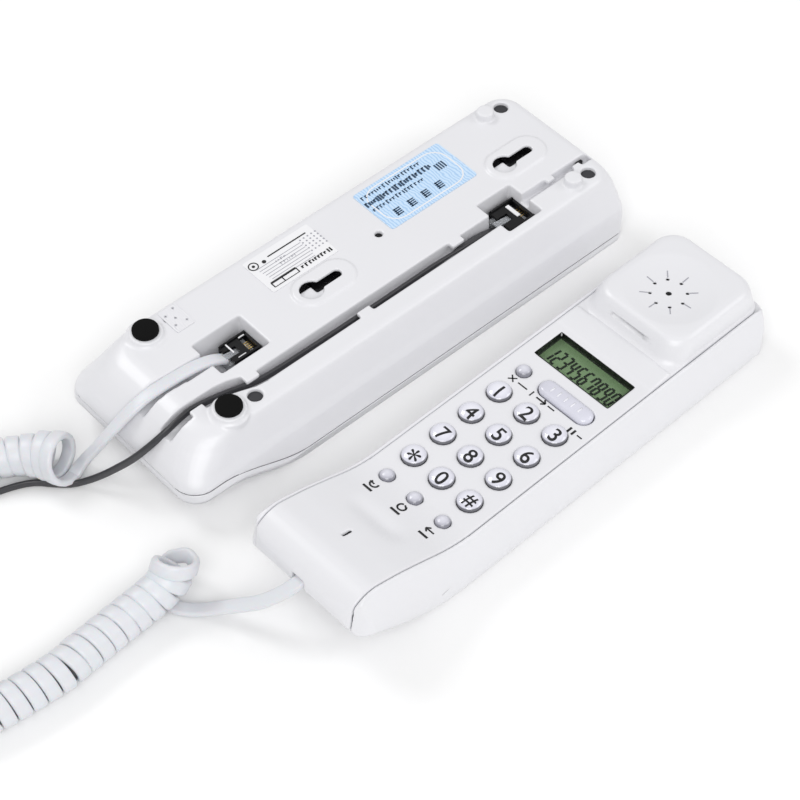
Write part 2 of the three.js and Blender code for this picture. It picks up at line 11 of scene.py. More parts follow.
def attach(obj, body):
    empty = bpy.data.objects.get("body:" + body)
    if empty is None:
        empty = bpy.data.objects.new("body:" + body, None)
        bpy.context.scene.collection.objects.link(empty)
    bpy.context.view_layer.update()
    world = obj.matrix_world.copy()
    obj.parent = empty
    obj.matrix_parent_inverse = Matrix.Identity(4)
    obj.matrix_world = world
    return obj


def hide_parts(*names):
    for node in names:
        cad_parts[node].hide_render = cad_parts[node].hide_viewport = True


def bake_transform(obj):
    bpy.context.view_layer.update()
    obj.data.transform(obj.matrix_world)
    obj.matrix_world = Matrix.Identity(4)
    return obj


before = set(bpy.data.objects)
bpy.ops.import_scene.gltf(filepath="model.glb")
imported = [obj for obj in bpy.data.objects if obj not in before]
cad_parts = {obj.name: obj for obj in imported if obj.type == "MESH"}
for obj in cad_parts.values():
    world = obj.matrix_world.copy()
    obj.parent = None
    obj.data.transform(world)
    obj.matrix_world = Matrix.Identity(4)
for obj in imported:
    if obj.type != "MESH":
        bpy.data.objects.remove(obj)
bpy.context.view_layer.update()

# ---- driving dimensions, in millimetres unless a name says otherwise ----
# The base is drawn with u along it and v across it, the handset with x and y; z is up in both.
MM = 0.001
BASE_AT = Matrix.Translation((0, 39.3, 0))
HANDSET_AT = Matrix.Translation((3.3, -44.4, 0)) @ Matrix.Rotation(radians(1.6), 4, "Z")
SCREWS = [(92.2, 22.8), (92.2, -22.8), (-63.4, 22.8), (-63.4, -22.8)]
SEALED = SCREWS[2]
FEET = [(-74, 22.3), (-74, -22.3)]
PEGS = [(84.2, 23), (84.2, -23)]
KEYHOLES = [-19.3, 72.3]
KEYHOLE_ENTRY = 4.3
KEYHOLE_SLOT = 1.9
KEYHOLE_TRAVEL = 11.3
SMALL_HOLE = (15.9, 4.9)
CHANNEL_FLOOR = 24.5
LABEL_TOP = 30.2
KEY_RADIUS = 4.3
SMALL_KEY_RADIUS = 2.65
KEY_PITCH_X = 13.2
KEY_PITCH_Y = 13
KEY_RIM = 21.25
KEY_RISE = 1.65
SMALL_KEY_RIM = 21.1
SMALL_KEY_RISE = 1.6
FUNCTION_ROW = -51.8
DELETE_KEY_AT = (12.5, 13.6)
LEGEND_ROW = -57.9
DIGIT_SHIFT = -0.75
ROCKER_AT = (12.9, -5.8)
ROCKER_HALF = (3.5, 11.5)
LCD = (21.2, 34.7, 17.1)
LCD_PANEL = 17.6
LCD_STROKE = 0.84
EAR_X = 69.5
EAR_RING = 6.5
DISH_X = 70.6
MIC_X = -81.6
CAMERA_AT = (-0.3524, -0.3771, 0.6167)
CAMERA_AZIMUTH = -41.93
CAMERA_ELEVATION = 50.5
LENS = 103.5
STRIP = (5.0, 2.3)
COIL_RADIUS = 5.8
COIL_PITCH = 5.2
COIL_START = radians(180)
COIL_RADII = ([0, 7, 16, 900], [8.2, 7.4, COIL_RADIUS, COIL_RADIUS])
FLARE = 1.1
FLARE_LENGTH = 9
CORD_STEP = 1.6
LINE = (2.8, 1.4)

# ---- small mesh tools ----
def linked(name, data):
    """A new object for the data, in the scene."""
    obj = bpy.data.objects.new(name, data)
    bpy.context.collection.objects.link(obj)
    return obj


def mesh_object(name, verts, faces):
    mesh = bpy.data.meshes.new(name)
    mesh.from_pydata([tuple(v) for v in verts], [], faces)
    obj = linked(name, mesh)
    editing = bmesh.new()
    editing.from_mesh(mesh)
    bmesh.ops.recalc_face_normals(editing, faces=editing.faces)
    editing.to_mesh(mesh)
    editing.free()
    return obj


def loft(rings, name="tool"):
    """A skin over rings of equal length, closed at both ends."""
    count = len(rings[0])
    verts = [p for ring in rings for p in ring]
    faces = []
    for i in range(len(rings) - 1):
        for j in range(count):
            a, b = i * count + j, i * count + (j + 1) % count
            faces.append((a, b, b + count, a + count))
    faces.append(tuple(range(count)))
    faces.append(tuple(range((len(rings) - 1) * count, len(rings) * count)))
    return mesh_object(name, verts, faces)


def stacked(levels):
    """A skin over (height, outline) levels, lowest first."""
    return loft([[(x, y, z) for x, y in outline] for z, outline in levels])


def prism(outline, axis, low, high):
    """An outline in the two other axes, drawn out along x, y or z."""
    place = {
        "x": lambda a, b, t: (t, a, b),
        "y": lambda a, b, t: (a, t, b),
        "z": lambda a, b, t: (a, b, t),
    }[axis]
    return loft([[place(a, b, t) for a, b in outline] for t in (low, high)])


def box(x0, x1, y0, y1, z0, z1):
    return prism([(x0, y0), (x1, y0), (x1, y1), (x0, y1)], "z", z0, z1)


def polar(x, y, radius, angle):
    return x + radius * cos(angle), y + radius * sin(angle)


def circle(x, y, radius, count=32):
    return [polar(x, y, radius, 2 * pi * i / count) for i in range(count)]


def disc(x, y, radius, low, high, count=32):
    return prism(circle(x, y, radius, count), "z", low, high)


def rounded(x0, x1, y0, y1, radii, steps=8):
    """A rounded rectangle; radii are those of the low-x and high-x corners."""
    low, high = radii if isinstance(radii, tuple) else (radii, radii)
    points = []
    for cx, cy, radius, start in (
        (x1 - high, y1 - high, high, 0), (x0 + low, y1 - low, low, 90),
        (x0 + low, y0 + low, low, 180), (x1 - high, y0 + high, high, 270),
    ):
        for i in range(steps + 1):
            points.append(polar(cx, cy, radius, radians(start + 90 * i / steps)))
    return points


def turned(profile, x, y, count=40):
    """A solid of revolution from (radius, z) points, lowest first, about a vertical axis."""
    rings = []
    for radius, z in profile:
        rings.append([(x + px, y + py, z) for px, py in circle(0, 0, max(radius, 1e-3), count)])
    return loft(rings)


def smooth_curve(points, steps=8):
    """Points on a Catmull-Rom curve through the given ones."""
    pts = [np.array(p, float) for p in points]
    pts = [2 * pts[0] - pts[1]] + pts + [2 * pts[-1] - pts[-2]]
    out = []
    for p0, p1, p2, p3 in zip(pts, pts[1:], pts[2:], pts[3:]):
        for i in range(steps):
            t = i / steps
            out.append(0.5 * (2 * p1 + (p2 - p0) * t + (2 * p0 - 5 * p1 + 4 * p2 - p3) * t**2
                              + (3 * p1 - p0 - 3 * p2 + p3) * t**3))
    out.append(pts[-2])
    return out


def islands(tools):
    """One mesh of several small separate shapes."""
    editing = bmesh.new()
    for tool in tools:
        editing.from_mesh(tool.data)
        bpy.data.objects.remove(tool)
    mesh = bpy.data.meshes.new("print")
    editing.to_mesh(mesh)
    editing.free()
    return linked("print", mesh)


def evaluated(obj):
    depsgraph = bpy.context.evaluated_depsgraph_get()
    depsgraph.update()
    return bpy.data.meshes.new_from_object(obj.evaluated_get(depsgraph))


def bake(obj):
    """Applies the modifiers."""
    mesh = evaluated(obj)
    obj.modifiers.clear()
    obj.data = mesh


def boolean(target, operation, tools):
    for tool in tools:
        modifier = target.modifiers.new("cut", "BOOLEAN")
        modifier.operation = operation
        modifier.object = tool
        modifier.solver = "EXACT"
        bake(target)
        bpy.data.objects.remove(tool)


def cut(target, tools):
    boolean(target, "DIFFERENCE", tools)


def join(target, tools):
    boolean(target, "UNION", tools)


def keep(target, tools):
    boolean(target, "INTERSECT", tools)


def moulded(obj, voxel=0.45, rounds=6, share=0.4, shape=None):
    """Rounds every edge a little, as a moulding has it; shape may then move the vertices."""
    remesh = obj.modifiers.new("voxels", "REMESH")
    remesh.mode = "VOXEL"
    remesh.voxel_size = voxel
    smooth = obj.modifiers.new("round", "SMOOTH")
    smooth.iterations = rounds
    smooth.factor = 0.5
    if shape:
        bake(obj)
        shape(obj)
    thin = obj.modifiers.new("thin", "DECIMATE")
    thin.ratio = share
    bake(obj)
    return obj


def settle(obj, name, place, body, material, nodes=(), smooth=True):
    """Moves a piece from local millimetres into the frame and hands it to its body."""
    obj.name = name
    obj.data.name = name
    obj.data.transform(Matrix.Scale(MM, 4) @ place)
    if smooth:
        obj.data.shade_smooth()
    obj.data.materials.clear()
    obj.data.materials.append(material)
    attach(obj, body)
    if nodes:
        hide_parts(*nodes)


def on_base(obj, name, material, nodes=(), smooth=False):
    settle(obj, name, BASE_AT, "base", material, nodes, smooth)


def on_handset(obj, name, material, nodes=(), smooth=False):
    settle(obj, name, HANDSET_AT, "handset", material, nodes, smooth)


# ---- materials ----
BROAD_SCALE = 45
BUMP_DISTANCE = 0.0001


def principled(name, colour, roughness, **sockets):
    material = bpy.data.materials.new(name)
    material.use_nodes = True
    shader = material.node_tree.nodes["Principled BSDF"]
    shader.inputs["Base Color"].default_value = (*colour, 1)
    shader.inputs["Roughness"].default_value = roughness
    for key, value in sockets.items():
        shader.inputs[key.replace("_", " ")].default_value = value
    return material


def add_node(material, kind, **sockets):
    node = material.node_tree.nodes.new("ShaderNode" + kind)
    for key, value in sockets.items():
        node.inputs[key.replace("_", " ")].default_value = value
    return node


def wire(source, output, target, socket):
    source.id_data.links.new(source.outputs[output], target.inputs[socket])


def shader_of(material):
    return material.node_tree.nodes["Principled BSDF"]


def coloured(material, source, stops):
    """Takes the base colour from a node's Fac, through (position, colour) stops."""
    ramp = add_node(material, "ValToRGB")
    elements = ramp.color_ramp.elements
    while len(elements) < len(stops):
        elements.new(0.5)
    for element, (at, colour) in zip(elements, stops):
        element.position = at
        element.color = (*colour, 1)
    wire(source, "Fac", ramp, "Fac")
    wire(ramp, "Color", shader_of(material), "Base Color")


def grain(material, scale, bump, colour_shift, roughness_shift):
    """Fine moulded texture: bump, with slight changes of colour and roughness."""
    shader = shader_of(material)
    coords = add_node(material, "TexCoord")
    fine = add_node(material, "TexNoise", Scale=scale, Detail=4)
    broad = add_node(material, "TexNoise", Scale=BROAD_SCALE)
    bumper = add_node(material, "Bump", Strength=bump, Distance=BUMP_DISTANCE)
    wire(coords, "Object", fine, "Vector")
    wire(coords, "Object", broad, "Vector")
    wire(fine, "Fac", bumper, "Height")
    wire(bumper, "Normal", shader, "Normal")
    colour = shader.inputs["Base Color"].default_value[:3]
    coloured(material, broad, [(0.3, [c * (1 - colour_shift) for c in colour]), (0.7, colour)])
    rough = shader.inputs["Roughness"].default_value
    spread = add_node(material, "MapRange", To_Min=rough - roughness_shift,
                      To_Max=rough + roughness_shift)
    wire(broad, "Fac", spread, "Value")
    wire(spread, "Result", shader, "Roughness")
    return material


def guilloche(name, ground, line, scale):
    """A printed security ground of fine wavy lines."""
    material = principled(name, ground, 0.45)
    coords = add_node(material, "TexCoord")
    wave = add_node(material, "TexWave", Scale=scale, Distortion=6, Detail_Scale=1.2)
    wire(coords, "Object", wave, "Vector")
    coloured(material, wave, [(0.35, ground), (1.0, line)])
    return material


def painted_rim_shade(material, lean, stops):
    """Paints shade on a round cap: its colour runs from the rim to the middle, with the middle moved by
    lean.
    """
    coords = add_node(material, "TexCoord")
    mapping = add_node(material, "Mapping", Location=(-1 - lean[0], -1 - lean[1], 0), Scale=(2, 2, 0))
    gradient = add_node(material, "TexGradient")
    gradient.gradient_type = "SPHERICAL"
    wire(coords, "Generated", mapping, "Vector")
    wire(mapping, "Vector", gradient, "Vector")
    coloured(material, gradient, stops)
    return material


WHITE = grain(principled("white_plastic", (0.745, 0.745, 0.772), 0.34, Coat_Weight=0.25,
                         Coat_Roughness=0.22), 2600, 0.12, 0.01, 0.015)
CORD_WHITE = grain(principled("white_cord", (0.70, 0.715, 0.75), 0.36, Subsurface_Weight=0.15,
                              Subsurface_Scale=0.002), 1800, 0.1, 0.03, 0.03)
CORD_GREY = grain(principled("grey_cord", (0.04, 0.04, 0.045), 0.3), 1800, 0.15, 0.2, 0.05)
RUBBER = grain(principled("black_rubber", (0.002, 0.002, 0.002), 0.8, Specular_IOR_Level=0.15),
               1500, 0.3, 0.2, 0.05)
# Black plastic of the jacks, the display well and other parts; also used for painted shade in the
# keyholes, the small hole, the channel end and the earpiece holes.
BLACK_PLASTIC_AND_SHADE = grain(principled("black_plastic", (0.004, 0.004, 0.005), 0.3, Specular_IOR_Level=0.35),
              2200, 0.2, 0.2, 0.05)
DARK_PRINT = principled("black_print", (0.004, 0.004, 0.005), 0.5)
# Grey painted shade for the open screw holes.
HOLE_SHADE_GREY = principled("painted_hole_shade", (0.03, 0.03, 0.035), 0.5)
STEEL = grain(principled("steel", (0.45, 0.45, 0.46), 0.3, Metallic=1.0), 1500, 0.2, 0.1, 0.06)
BRASS = principled("contact_brass", (0.7, 0.5, 0.2), 0.25, Metallic=1.0)
WINDOW = principled("clear_window", (0.3, 0.34, 0.3), 0.05, Alpha=0.03)
# Silver function keys, with painted shade darkening their rims towards one side.
SILVER_PAINTED_RIM_SHADE = painted_rim_shade(principled("silver_plastic", (0.6, 0.6, 0.66), 0.22, Coat_Weight=0.6), (0.1, 0.13),
                [(0.0, (0.24, 0.24, 0.28)), (0.12, (0.44, 0.44, 0.5)), (0.4, (0.6, 0.6, 0.67)),
                 (1.0, (0.72, 0.72, 0.79))])
KEY_BED = grain(principled("key_bed", (0.84, 0.84, 0.9), 0.3), 1500, 0.05, 0.03, 0.03)
LCD_GREEN = grain(principled("display_green", (0.155, 0.255, 0.12), 0.3), 900, 0.05, 0.06, 0.03)
LCD_INK = principled("display_ink", (0.003, 0.008, 0.003), 0.5, Specular_IOR_Level=0.1)
BOARD = grain(principled("circuit_board", (0.02, 0.09, 0.03), 0.45), 900, 0.2, 0.2, 0.05)
CLEAR = grain(principled("clear_smoke", (0.82, 0.84, 0.88), 0.08, Transmission_Weight=0.75, IOR=1.45),
              1500, 0.05, 0.03, 0.02)
# Dialling caps are opaque: painted shade darkens their rims, and a lighter middle moved aside stands in
# for the look of a clear dome.
KEY_CAP_PAINTED_SHADE = painted_rim_shade(principled("key_cap", (0.8, 0.8, 0.86), 0.12, Coat_Weight=1.0, Coat_Roughness=0.04),
                   (0.035, 0.05),
                   [(0.0, (0.13, 0.13, 0.15)), (0.018, (0.36, 0.36, 0.41)), (0.055, (0.66, 0.66, 0.74)),
                    (0.4, (0.76, 0.76, 0.84)), (1.0, (0.82, 0.82, 0.89))])
ROCKER_CLEAR = grain(principled("rocker_cap", (0.68, 0.68, 0.77), 0.18, Coat_Weight=0.8,
                                Coat_Roughness=0.1), 420, 0.9, 0.25, 0.08)
SEAM_GREY = principled("seam_grey", (0.11, 0.11, 0.12), 0.6)
PALE_PRINT = principled("pale_print", (0.36, 0.36, 0.4), 0.5)
BLUE_PRINT = principled("blue_print", (0.02, 0.05, 0.10), 0.5)
# White label paper; also the white of the painted glints on the jacks.
PAPER_AND_GLINT_WHITE = grain(principled("label_paper_and_glint_white", (0.82, 0.82, 0.84), 0.5), 900, 0.1, 0.03, 0.03)
BLUE_LABEL = guilloche("blue_label", (0.56, 0.72, 0.90), (0.37, 0.56, 0.80), 260)
SEAL_LABEL = guilloche("seal_label", (0.80, 0.80, 0.82), (0.62, 0.62, 0.66), 420)

# ---- camera, light and floor ----
camera_data = bpy.data.cameras.new("camera")
camera = linked("camera", camera_data)
camera_data.lens = LENS
camera_data.sensor_width = 36
camera_data.clip_start = 0.01
camera.location = CAMERA_AT
azimuth, elevation = radians(CAMERA_AZIMUTH), radians(CAMERA_ELEVATION)
looking = Vector((-sin(azimuth) * cos(elevation), cos(azimuth) * cos(elevation),
                  -sin(elevation)))
camera.rotation_euler = looking.to_track_quat("-Z", "Y").to_euler()
bpy.context.scene.camera = camera


def area_light(name, at, size, power):
    """A lamp that shines on the origin."""
    data = bpy.data.lights.new(name, "AREA")
    data.shape = "RECTANGLE"
    data.size, data.size_y = size
    data.energy = power
    lamp = linked(name, data)
    lamp.location = at
    lamp.rotation_euler = (-Vector(at)).to_track_quat("-Z", "Y").to_euler()


area_light("key_light", (-0.25, 0.95, 1.15), (0.6, 0.5), 5)
area_light("fill_light", (-1.3, -1.3, 1.8), (1.6, 1.4), 27)
area_light("side_light", (1.3, -1.2, 1.2), (1.3, 1.1), 9)
world = bpy.data.worlds.new("studio")
world.use_nodes = True
world.node_tree.nodes["Background"].inputs["Color"].default_value = (1, 1, 1, 1)
world.node_tree.nodes["Background"].inputs["Strength"].default_value = 0.6
bpy.context.scene.world = world
bpy.context.scene.view_settings.view_transform = "Standard"
floor = mesh_object("floor", [(-3, -3, 0), (3, -3, 0), (3, 3, 0), (-3, 3, 0)], [(0, 1, 2, 3)])
floor.data.materials.append(principled("floor", (0.935, 0.935, 0.935), 0.7))

# ---- cords ----
LEAD = [
    (-57.4, 40, 22.9), (-59.6, 40, 24.6), (-62.6, 40, 26.4), (-67, 40.3, 27.8), (-72, 40.6, 28.5),
    (-79, 40.8, 28.9), (-86, 40.9, 28.9), (-91.5, 41.2, 28), (-96.4, 41.8, 25.6), (-102, 43.4, 20.4),
    (-105.8, 45.2, 15.4), (-109.4, 47.2, 10.4), (-112.4, 48.6, 6.6), (-114.8, 49.1, 4.1),
    (-117, 48.8, 2.8),
]
COIL_ROUTE = [
    (-119, 50.6, 10.4), (-120, 53.4, 9.6), (-121.4, 56.4, 8.9), (-124.6, 60.6, 8.1),
    (-131.5, 66.4, 7.3), (-144, 73.8, 7.1), (-159, 81, 7.1), (-177, 88, 7.1), (-195, 91.4, 7.1),
    (-213, 90.4, 7.1), (-229, 83.6, 7.1), (-241, 71, 7.1), (-247.5, 54, 7.1), (-248, 36, 7.1),
    (-242, 18.5, 7.1), (-230, 4, 7.1), (-214, -6, 7.1), (-196, -11.4, 7.1), (-172.2, -13.9, 7.1),
    (-162, -13.3, 7.1), (-151.4, -12.5, 7.1), (-140.9, -11.9, 7.3), (-134.6, -11.8, 7.9),
    (-129, -11.8, 8.8), (-124.6, -11.5, 10.4), (-121.4, -10.8, 12.8), (-119.4, -9.9, 15.6),
]
TAIL = [
    (-114.3, -6.5, 10.2), (-116.3, -3, 7.2), (-119.4, -2.2, 4.3), (-122.6, -4.3, 2.3),
    (-124.8, -8, 1.5), (-125.6, -12, 1.4), (-125.2, -15.7, 1.5), (-123, -19.4, 1.8),
    (-120, -22.8, 2.4), (-115.9, -27.3, 4.5),
    (-111.9, -32.8, 8), (-108, -38.4, 12), (-103.3, -43.1, 17), (-99.3, -45.8, 21), (-95.4, -46.2, 22.6),
]
LINE_ROUTE = [
    (53.6, 22.9, 22.4), (50.5, 22.6, 23.6), (46, 22.1, 25.6), (40, 21.8, 26.9), (32, 21.6, 27.2),
    (10, 21.4, 27.2), (-15, 21.3, 27.2), (-40, 21.6, 27.2), (-54, 22, 27.2), (-62.5, 23.6, 27.2),
    (-69, 25.3, 27.3), (-76, 26.4, 27.8), (-82.9, 27, 28), (-88, 26.6, 27.6), (-92.2, 26.4, 26.6),
    (-99.3, 28.1, 22), (-104.3, 31.6, 16), (-108.9, 36.3, 10), (-112.8, 40, 6), (-116.7, 43.8, 2.8),
    (-120.8, 46.7, 1.9), (-125, 51, 1.6), (-129, 55.3, 1.6), (-135, 58.6, 1.6), (-146, 62.4, 1.6),
    (-158, 67.4, 1.6), (-172, 73.2, 1.6), (-182.7, 76.6, 1.6),
]
RING = (-201, 44)
RING_OUTER = 33.3
RING_INNER = 14
RING_TURNS = 8
RING_START = 72
RING_HEIGHT = 1.6
RING_RISE = 6.9
LAST_SWEEP = 150
LAST_SPREAD = 10


def resample(points, step):
    """Points a constant step apart along a polyline, and the length."""
    pts = np.array(points, float)
    lengths = np.r_[0, np.cumsum(np.linalg.norm(np.diff(pts, axis=0), axis=1))]
    count = max(2, int(round(lengths[-1] / step)) + 1)
    at = np.linspace(0, lengths[-1], count)
    return np.array([np.interp(at, lengths, pts[:, k]) for k in range(3)]).T, lengths[-1]


def transported(points, start):
    """Tangents, and a normal carried along the points without twisting."""
    tangents = np.gradient(points, axis=0)
    tangents /= np.linalg.norm(tangents, axis=1)[:, None]
    normals = []
    normal = np.array(start, float)
    for tangent in tangents:
        normal = normal - tangent * normal.dot(tangent)
        normal = normal / np.linalg.norm(normal)
        normals.append(normal)
    return tangents, np.array(normals)


def helix(route, radii, pitch):
    """A right-handed coil round a route, flared at its end: its points and outward directions."""
    axis, length = resample(smooth_curve(route, 12), 0.25)
    tangents, normals = transported(axis, (0, 0, 1))
    turns = math.floor(length / pitch) - 0.06
    out, outward = [], []
    steps = int(turns * 20)
    for i in range(steps + 1):
        at = i / steps
        k = min(int(at * (len(axis) - 1)), len(axis) - 1)
        radius = float(np.interp(at * length, radii[0], radii[1]))
        radius += FLARE * max(0, 1 - (1 - at) * length / FLARE_LENGTH)
        angle = 2 * pi * turns * at + COIL_START
        side = np.cross(tangents[k], normals[k])
        direction = cos(angle) * normals[k] + sin(angle) * side
        out.append(axis[k] + radius * direction)
        outward.append(direction)
    return out, outward


def strip(name, points, hints, size):
    """A flat cord of size (width, thickness) along points, its flat side facing each hint."""
    points = np.array(points, float)
    tangents = np.gradient(points, axis=0)
    tangents /= np.linalg.norm(tangents, axis=1)[:, None]
    width, thick = size[0] / 2, size[1] / 2
    section = rounded(-width, width, -thick, thick, thick * 0.85, 3)
    rings = []
    for point, tangent, hint in zip(points, tangents, hints):
        normal = np.array(hint) - tangent * np.dot(hint, tangent)
        normal /= np.linalg.norm(normal)
        across = np.cross(tangent, normal)
        rings.append([point + across * a + normal * b for a, b in section])
    return loft(rings, name)


def eased(points, stations):
    """Directions at each point, passing through (share of length, direction) stations."""
    share = np.linspace(0, 1, len(points))
    keys = [s for s, _ in stations]
    directions = np.array([d for _, d in stations], float)
    return np.array([np.interp(share, keys, directions[:, k]) for k in range(3)]).T


lead_points, _ = resample(smooth_curve(LEAD), CORD_STEP)
tail_points, _ = resample(smooth_curve(TAIL), CORD_STEP)
coil_points, coil_outward = helix(COIL_ROUTE, COIL_RADII, COIL_PITCH)


def bridge(a, b, steps=7):
    """Points that carry one run of cord into the next."""
    p0, p3 = np.array(a[-1]), np.array(b[0])
    reach = np.linalg.norm(p3 - p0) * 0.45
    d0 = p0 - np.array(a[-2])
    d1 = np.array(b[1]) - p3
    p1 = p0 + d0 / np.linalg.norm(d0) * reach
    p2 = p3 - d1 / np.linalg.norm(d1) * reach
    out = []
    for i in range(1, steps):
        t = i / steps
        out.append((1 - t) ** 3 * p0 + 3 * t * (1 - t) ** 2 * p1 + 3 * t**2 * (1 - t) * p2 + t**3 * p3)
    return out


def mixed(a, b, steps=7):
    """Directions that turn from one to another along a bridge."""
    return [np.array(a) * (1 - i / steps) + np.array(b) * (i / steps) for i in range(1, steps)]


lead_hints = [(0, -0.05, -1)] * len(lead_points)
tail_hints = list(eased(tail_points, [
    (0, (0.75, 0.2, -0.6)), (0.08, (0.3, 0.7, -0.6)), (0.17, (-0.1, 0.3, -1)), (0.27, (0, 0, -1)),
    (0.5, (0, 0, -1)), (0.8, (0.35, 0.2, -0.9)), (1, (0.5, -0.1, -0.8)),
]))
first_bridge = bridge(list(lead_points), coil_points)
last_bridge = bridge(coil_points, list(tail_points))
handset_cord_path = [*lead_points, *first_bridge, *coil_points, *last_bridge, *tail_points]
handset_cord_hints = [*lead_hints, *mixed(lead_hints[-1], coil_outward[0]), *coil_outward,
                      *mixed(coil_outward[-1], tail_hints[0]), *tail_hints]
handset_cord = strip("handset_cord", handset_cord_path, handset_cord_hints, STRIP)


def spiral():
    """The stored rest of the line cord: a flat spiral on edge, then a part turn up over it."""
    points = []
    steps = RING_TURNS * 24
    for i in range(steps + 1):
        share = i / steps
        angle = radians(RING_START) + 2 * pi * RING_TURNS * share
        radius = RING_OUTER + (RING_INNER - RING_OUTER) * share
        points.append((*polar(*RING, radius, angle), RING_HEIGHT))
    for i in range(1, 16):
        share = i / 15
        angle = radians(RING_START + LAST_SWEEP * share)
        radius = RING_INNER + LAST_SPREAD * share * share
        points.append((*polar(*RING, radius, angle),
                       RING_HEIGHT + RING_RISE * (3 * share**2 - 2 * share**3)))
    return points


route_points, _ = resample(smooth_curve(LINE_ROUTE), 2.5)
line_path = [*route_points, *spiral()[1:]]
line_tangents = np.gradient(np.array(line_path), axis=0)
sideways = np.cross(line_tangents, (0, 0, 1.0))
sideways /= np.linalg.norm(sideways, axis=1)[:, None]
flat_share = np.interp(np.arange(len(line_path)), [0, 6, 14, len(line_path) - 12, len(line_path) - 1],
                       [1, 0.8, 0, 0, 1])[:, None]
line_hints = sideways * (1 - flat_share) + np.array((0, 0, 1.0)) * flat_share
line_cord = strip("line_cord_strip", line_path, line_hints, LINE)


def declare(path):
    path = [[c * MM for c in p] for p in path]


def settle_cord(obj, name, material):
    obj.name = name
    obj.data.transform(Matrix.Scale(MM, 4))
    obj.data.shade_smooth()
    obj.data.materials.append(material)


settle_cord(handset_cord, "handset_cord", CORD_WHITE)
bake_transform(handset_cord)
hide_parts("handset_cord_lead", "handset_cord_coil", "handset_cord_tail")
declare(handset_cord_path)
settle_cord(line_cord, "line_cord_strip", CORD_GREY)
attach(line_cord, "base")
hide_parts("line_cord", "line_cord_coil")
declare(line_path)

# ---- base shells ----
def by_height(z, table):
    """A value read from (height, value) rows."""
    return float(np.interp(z, [row[0] for row in table], [row[1] for row in table]))


HALF_WIDTH = [(0, 34.9), (3.5, 35.3), (12, 35.1), (14.6, 34.9), (16, 34.6), (17.4, 33.95), (18.6, 33.2),
              (20, 32.6), (28, 29.15), (28.8, 28.7), (29.4, 28.2), (29.8, 27.5), (30, 26.6)]
UPPER_END = [(0, 100.7), (3, 101.1), (24, 101.1), (26.5, 100.6), (28, 99.9), (29.2, 98.8),
             (29.8, 97.7), (30, 96.4)]
LOWER_END = [(0, 101.1), (15, 101.1), (16.5, 100.8), (18.2, 100.1), (20, 98.9), (21.5, 97.6),
             (23.6, 95.7), (25.8, 93.3), (27.4, 91), (28.6, 88.8), (29.4, 86.6), (29.8, 84.8), (30, 82.6)]
LOWER_CORNER = [(0, 8), (11, 8), (15, 9), (20, 11.5), (25, 13), (30, 12)]
UPPER_CORNER = [(0, 3.4), (14, 3.4), (20, 4.4), (26, 7), (28, 8.5), (30, 7.5)]


def base_blank(inset=0.0):
    levels = []
    for z in [*np.arange(-1, 27.9, 1.0), *np.arange(28, 30.01, 0.25)]:
        half = by_height(z, HALF_WIDTH) - inset
        outline = rounded(-by_height(z, LOWER_END) + inset, by_height(z, UPPER_END) - inset, -half, half,
                          (by_height(z, LOWER_CORNER), by_height(z, UPPER_CORNER)), 10)
        levels.append((z, outline))
    return stacked(levels)


def front_curve(lift):
    """The front face of the base, which lies on the floor and lifts towards the cord end."""
    points = [(120, lift)]
    for i in range(25):
        t = i / 24
        points.append((-50 - 38 * t, 11 * t * t * (3 - 2 * t) + lift))
    points.append((-120, 11 + lift))
    return points


def channel(runs, width, low):
    """Tools for a groove along a polyline."""
    tools = []
    for (u0, v0), (u1, v1) in zip(runs, runs[1:]):
        heading = Vector((u1 - u0, v1 - v0)).normalized()
        side = Vector((-heading.y, heading.x)) * (width / 2)
        a, b = Vector((u0, v0)) - heading * 0.8, Vector((u1, v1)) + heading * 0.8
        tools.append(prism([a - side, b - side, b + side, a + side], "z", low, 45))
    return tools


def pocket(u0, u1, v0, v1, low):
    """A jack pocket whose walls lean out towards its mouth."""
    return stacked([(z, rounded(u0 - grow, u1 + grow, v0 - grow, v1 + grow, 0.5, 2))
                    for z, grow in ((low, 0), (30.1, 1.1), (34, 1.1))])


LINE_RUNS = [(52, -17.6), (-56.5, -17.6), (-60, -17.1), (-64, -15.6), (-67.5, -14.4), (-72, -13.7),
             (-108, -12.9)]
LEAD_RUNS = [(-63, 0), (-80, 0.6), (-108, 2.2)]
TABS = [(33.8, 1, -17.6), (-11.7, -1, -17.6), (-59.2, 1, -17.3), (-81.5, -1, -13.5)]


def keyhole_deep(u, inset, top):
    """The two spaces under the far side of a keyhole."""
    return [box(u - 4.4 + inset, u + 3.2 - inset, 3 + inset, 6.2 - inset, 22 + inset, top),
            box(u + 2 + inset, u + 14.6 - inset, -0.7 + inset, 6.2 - inset, 22 + inset, top)]


def keyhole(u):
    """A round entry and a slot: a shallow floor on the near side, deep under the far side."""
    return [disc(u, 0, KEYHOLE_ENTRY, 28.3, 40, 40),
            box(u, u + KEYHOLE_TRAVEL, -KEYHOLE_SLOT, KEYHOLE_SLOT, 28.3, 40),
            disc(u + KEYHOLE_TRAVEL, 0, KEYHOLE_SLOT, 28.3, 40, 24), *keyhole_deep(u, 0, 29.3)]


def foot_boss(u, v):
    return turned([(0, 27), (7.2, 27), (7.2, 30), (6.3, 30.5), (5.9, 31.6), (5.2, 31.75), (0, 31.75)],
                  u, v)


def peg(u, v):
    return turned([(0, 27), (3.5, 27), (3.3, 30), (3.2, 33), (2.9, 33.3), (0, 33.3)], u, v)


def keyhole_pad(u):
    return stacked([(z, rounded(u - radius, u + KEYHOLE_TRAVEL + radius, -radius, radius,
                                radius * 0.98, 14))
                    for z, radius in ((27, 7.4), (30, 7.4), (30.5, 7.0), (30.8, 6.5))])


def channel_tab(u, side, v):
    """A small tongue over the channel that holds the cord down."""
    edge = v + side * 2.9
    low, high = sorted((edge + side * 1.5, edge - side * 2.6))
    return box(u - 2.8, u + 2.8, low, high, 28.2, 30.05)


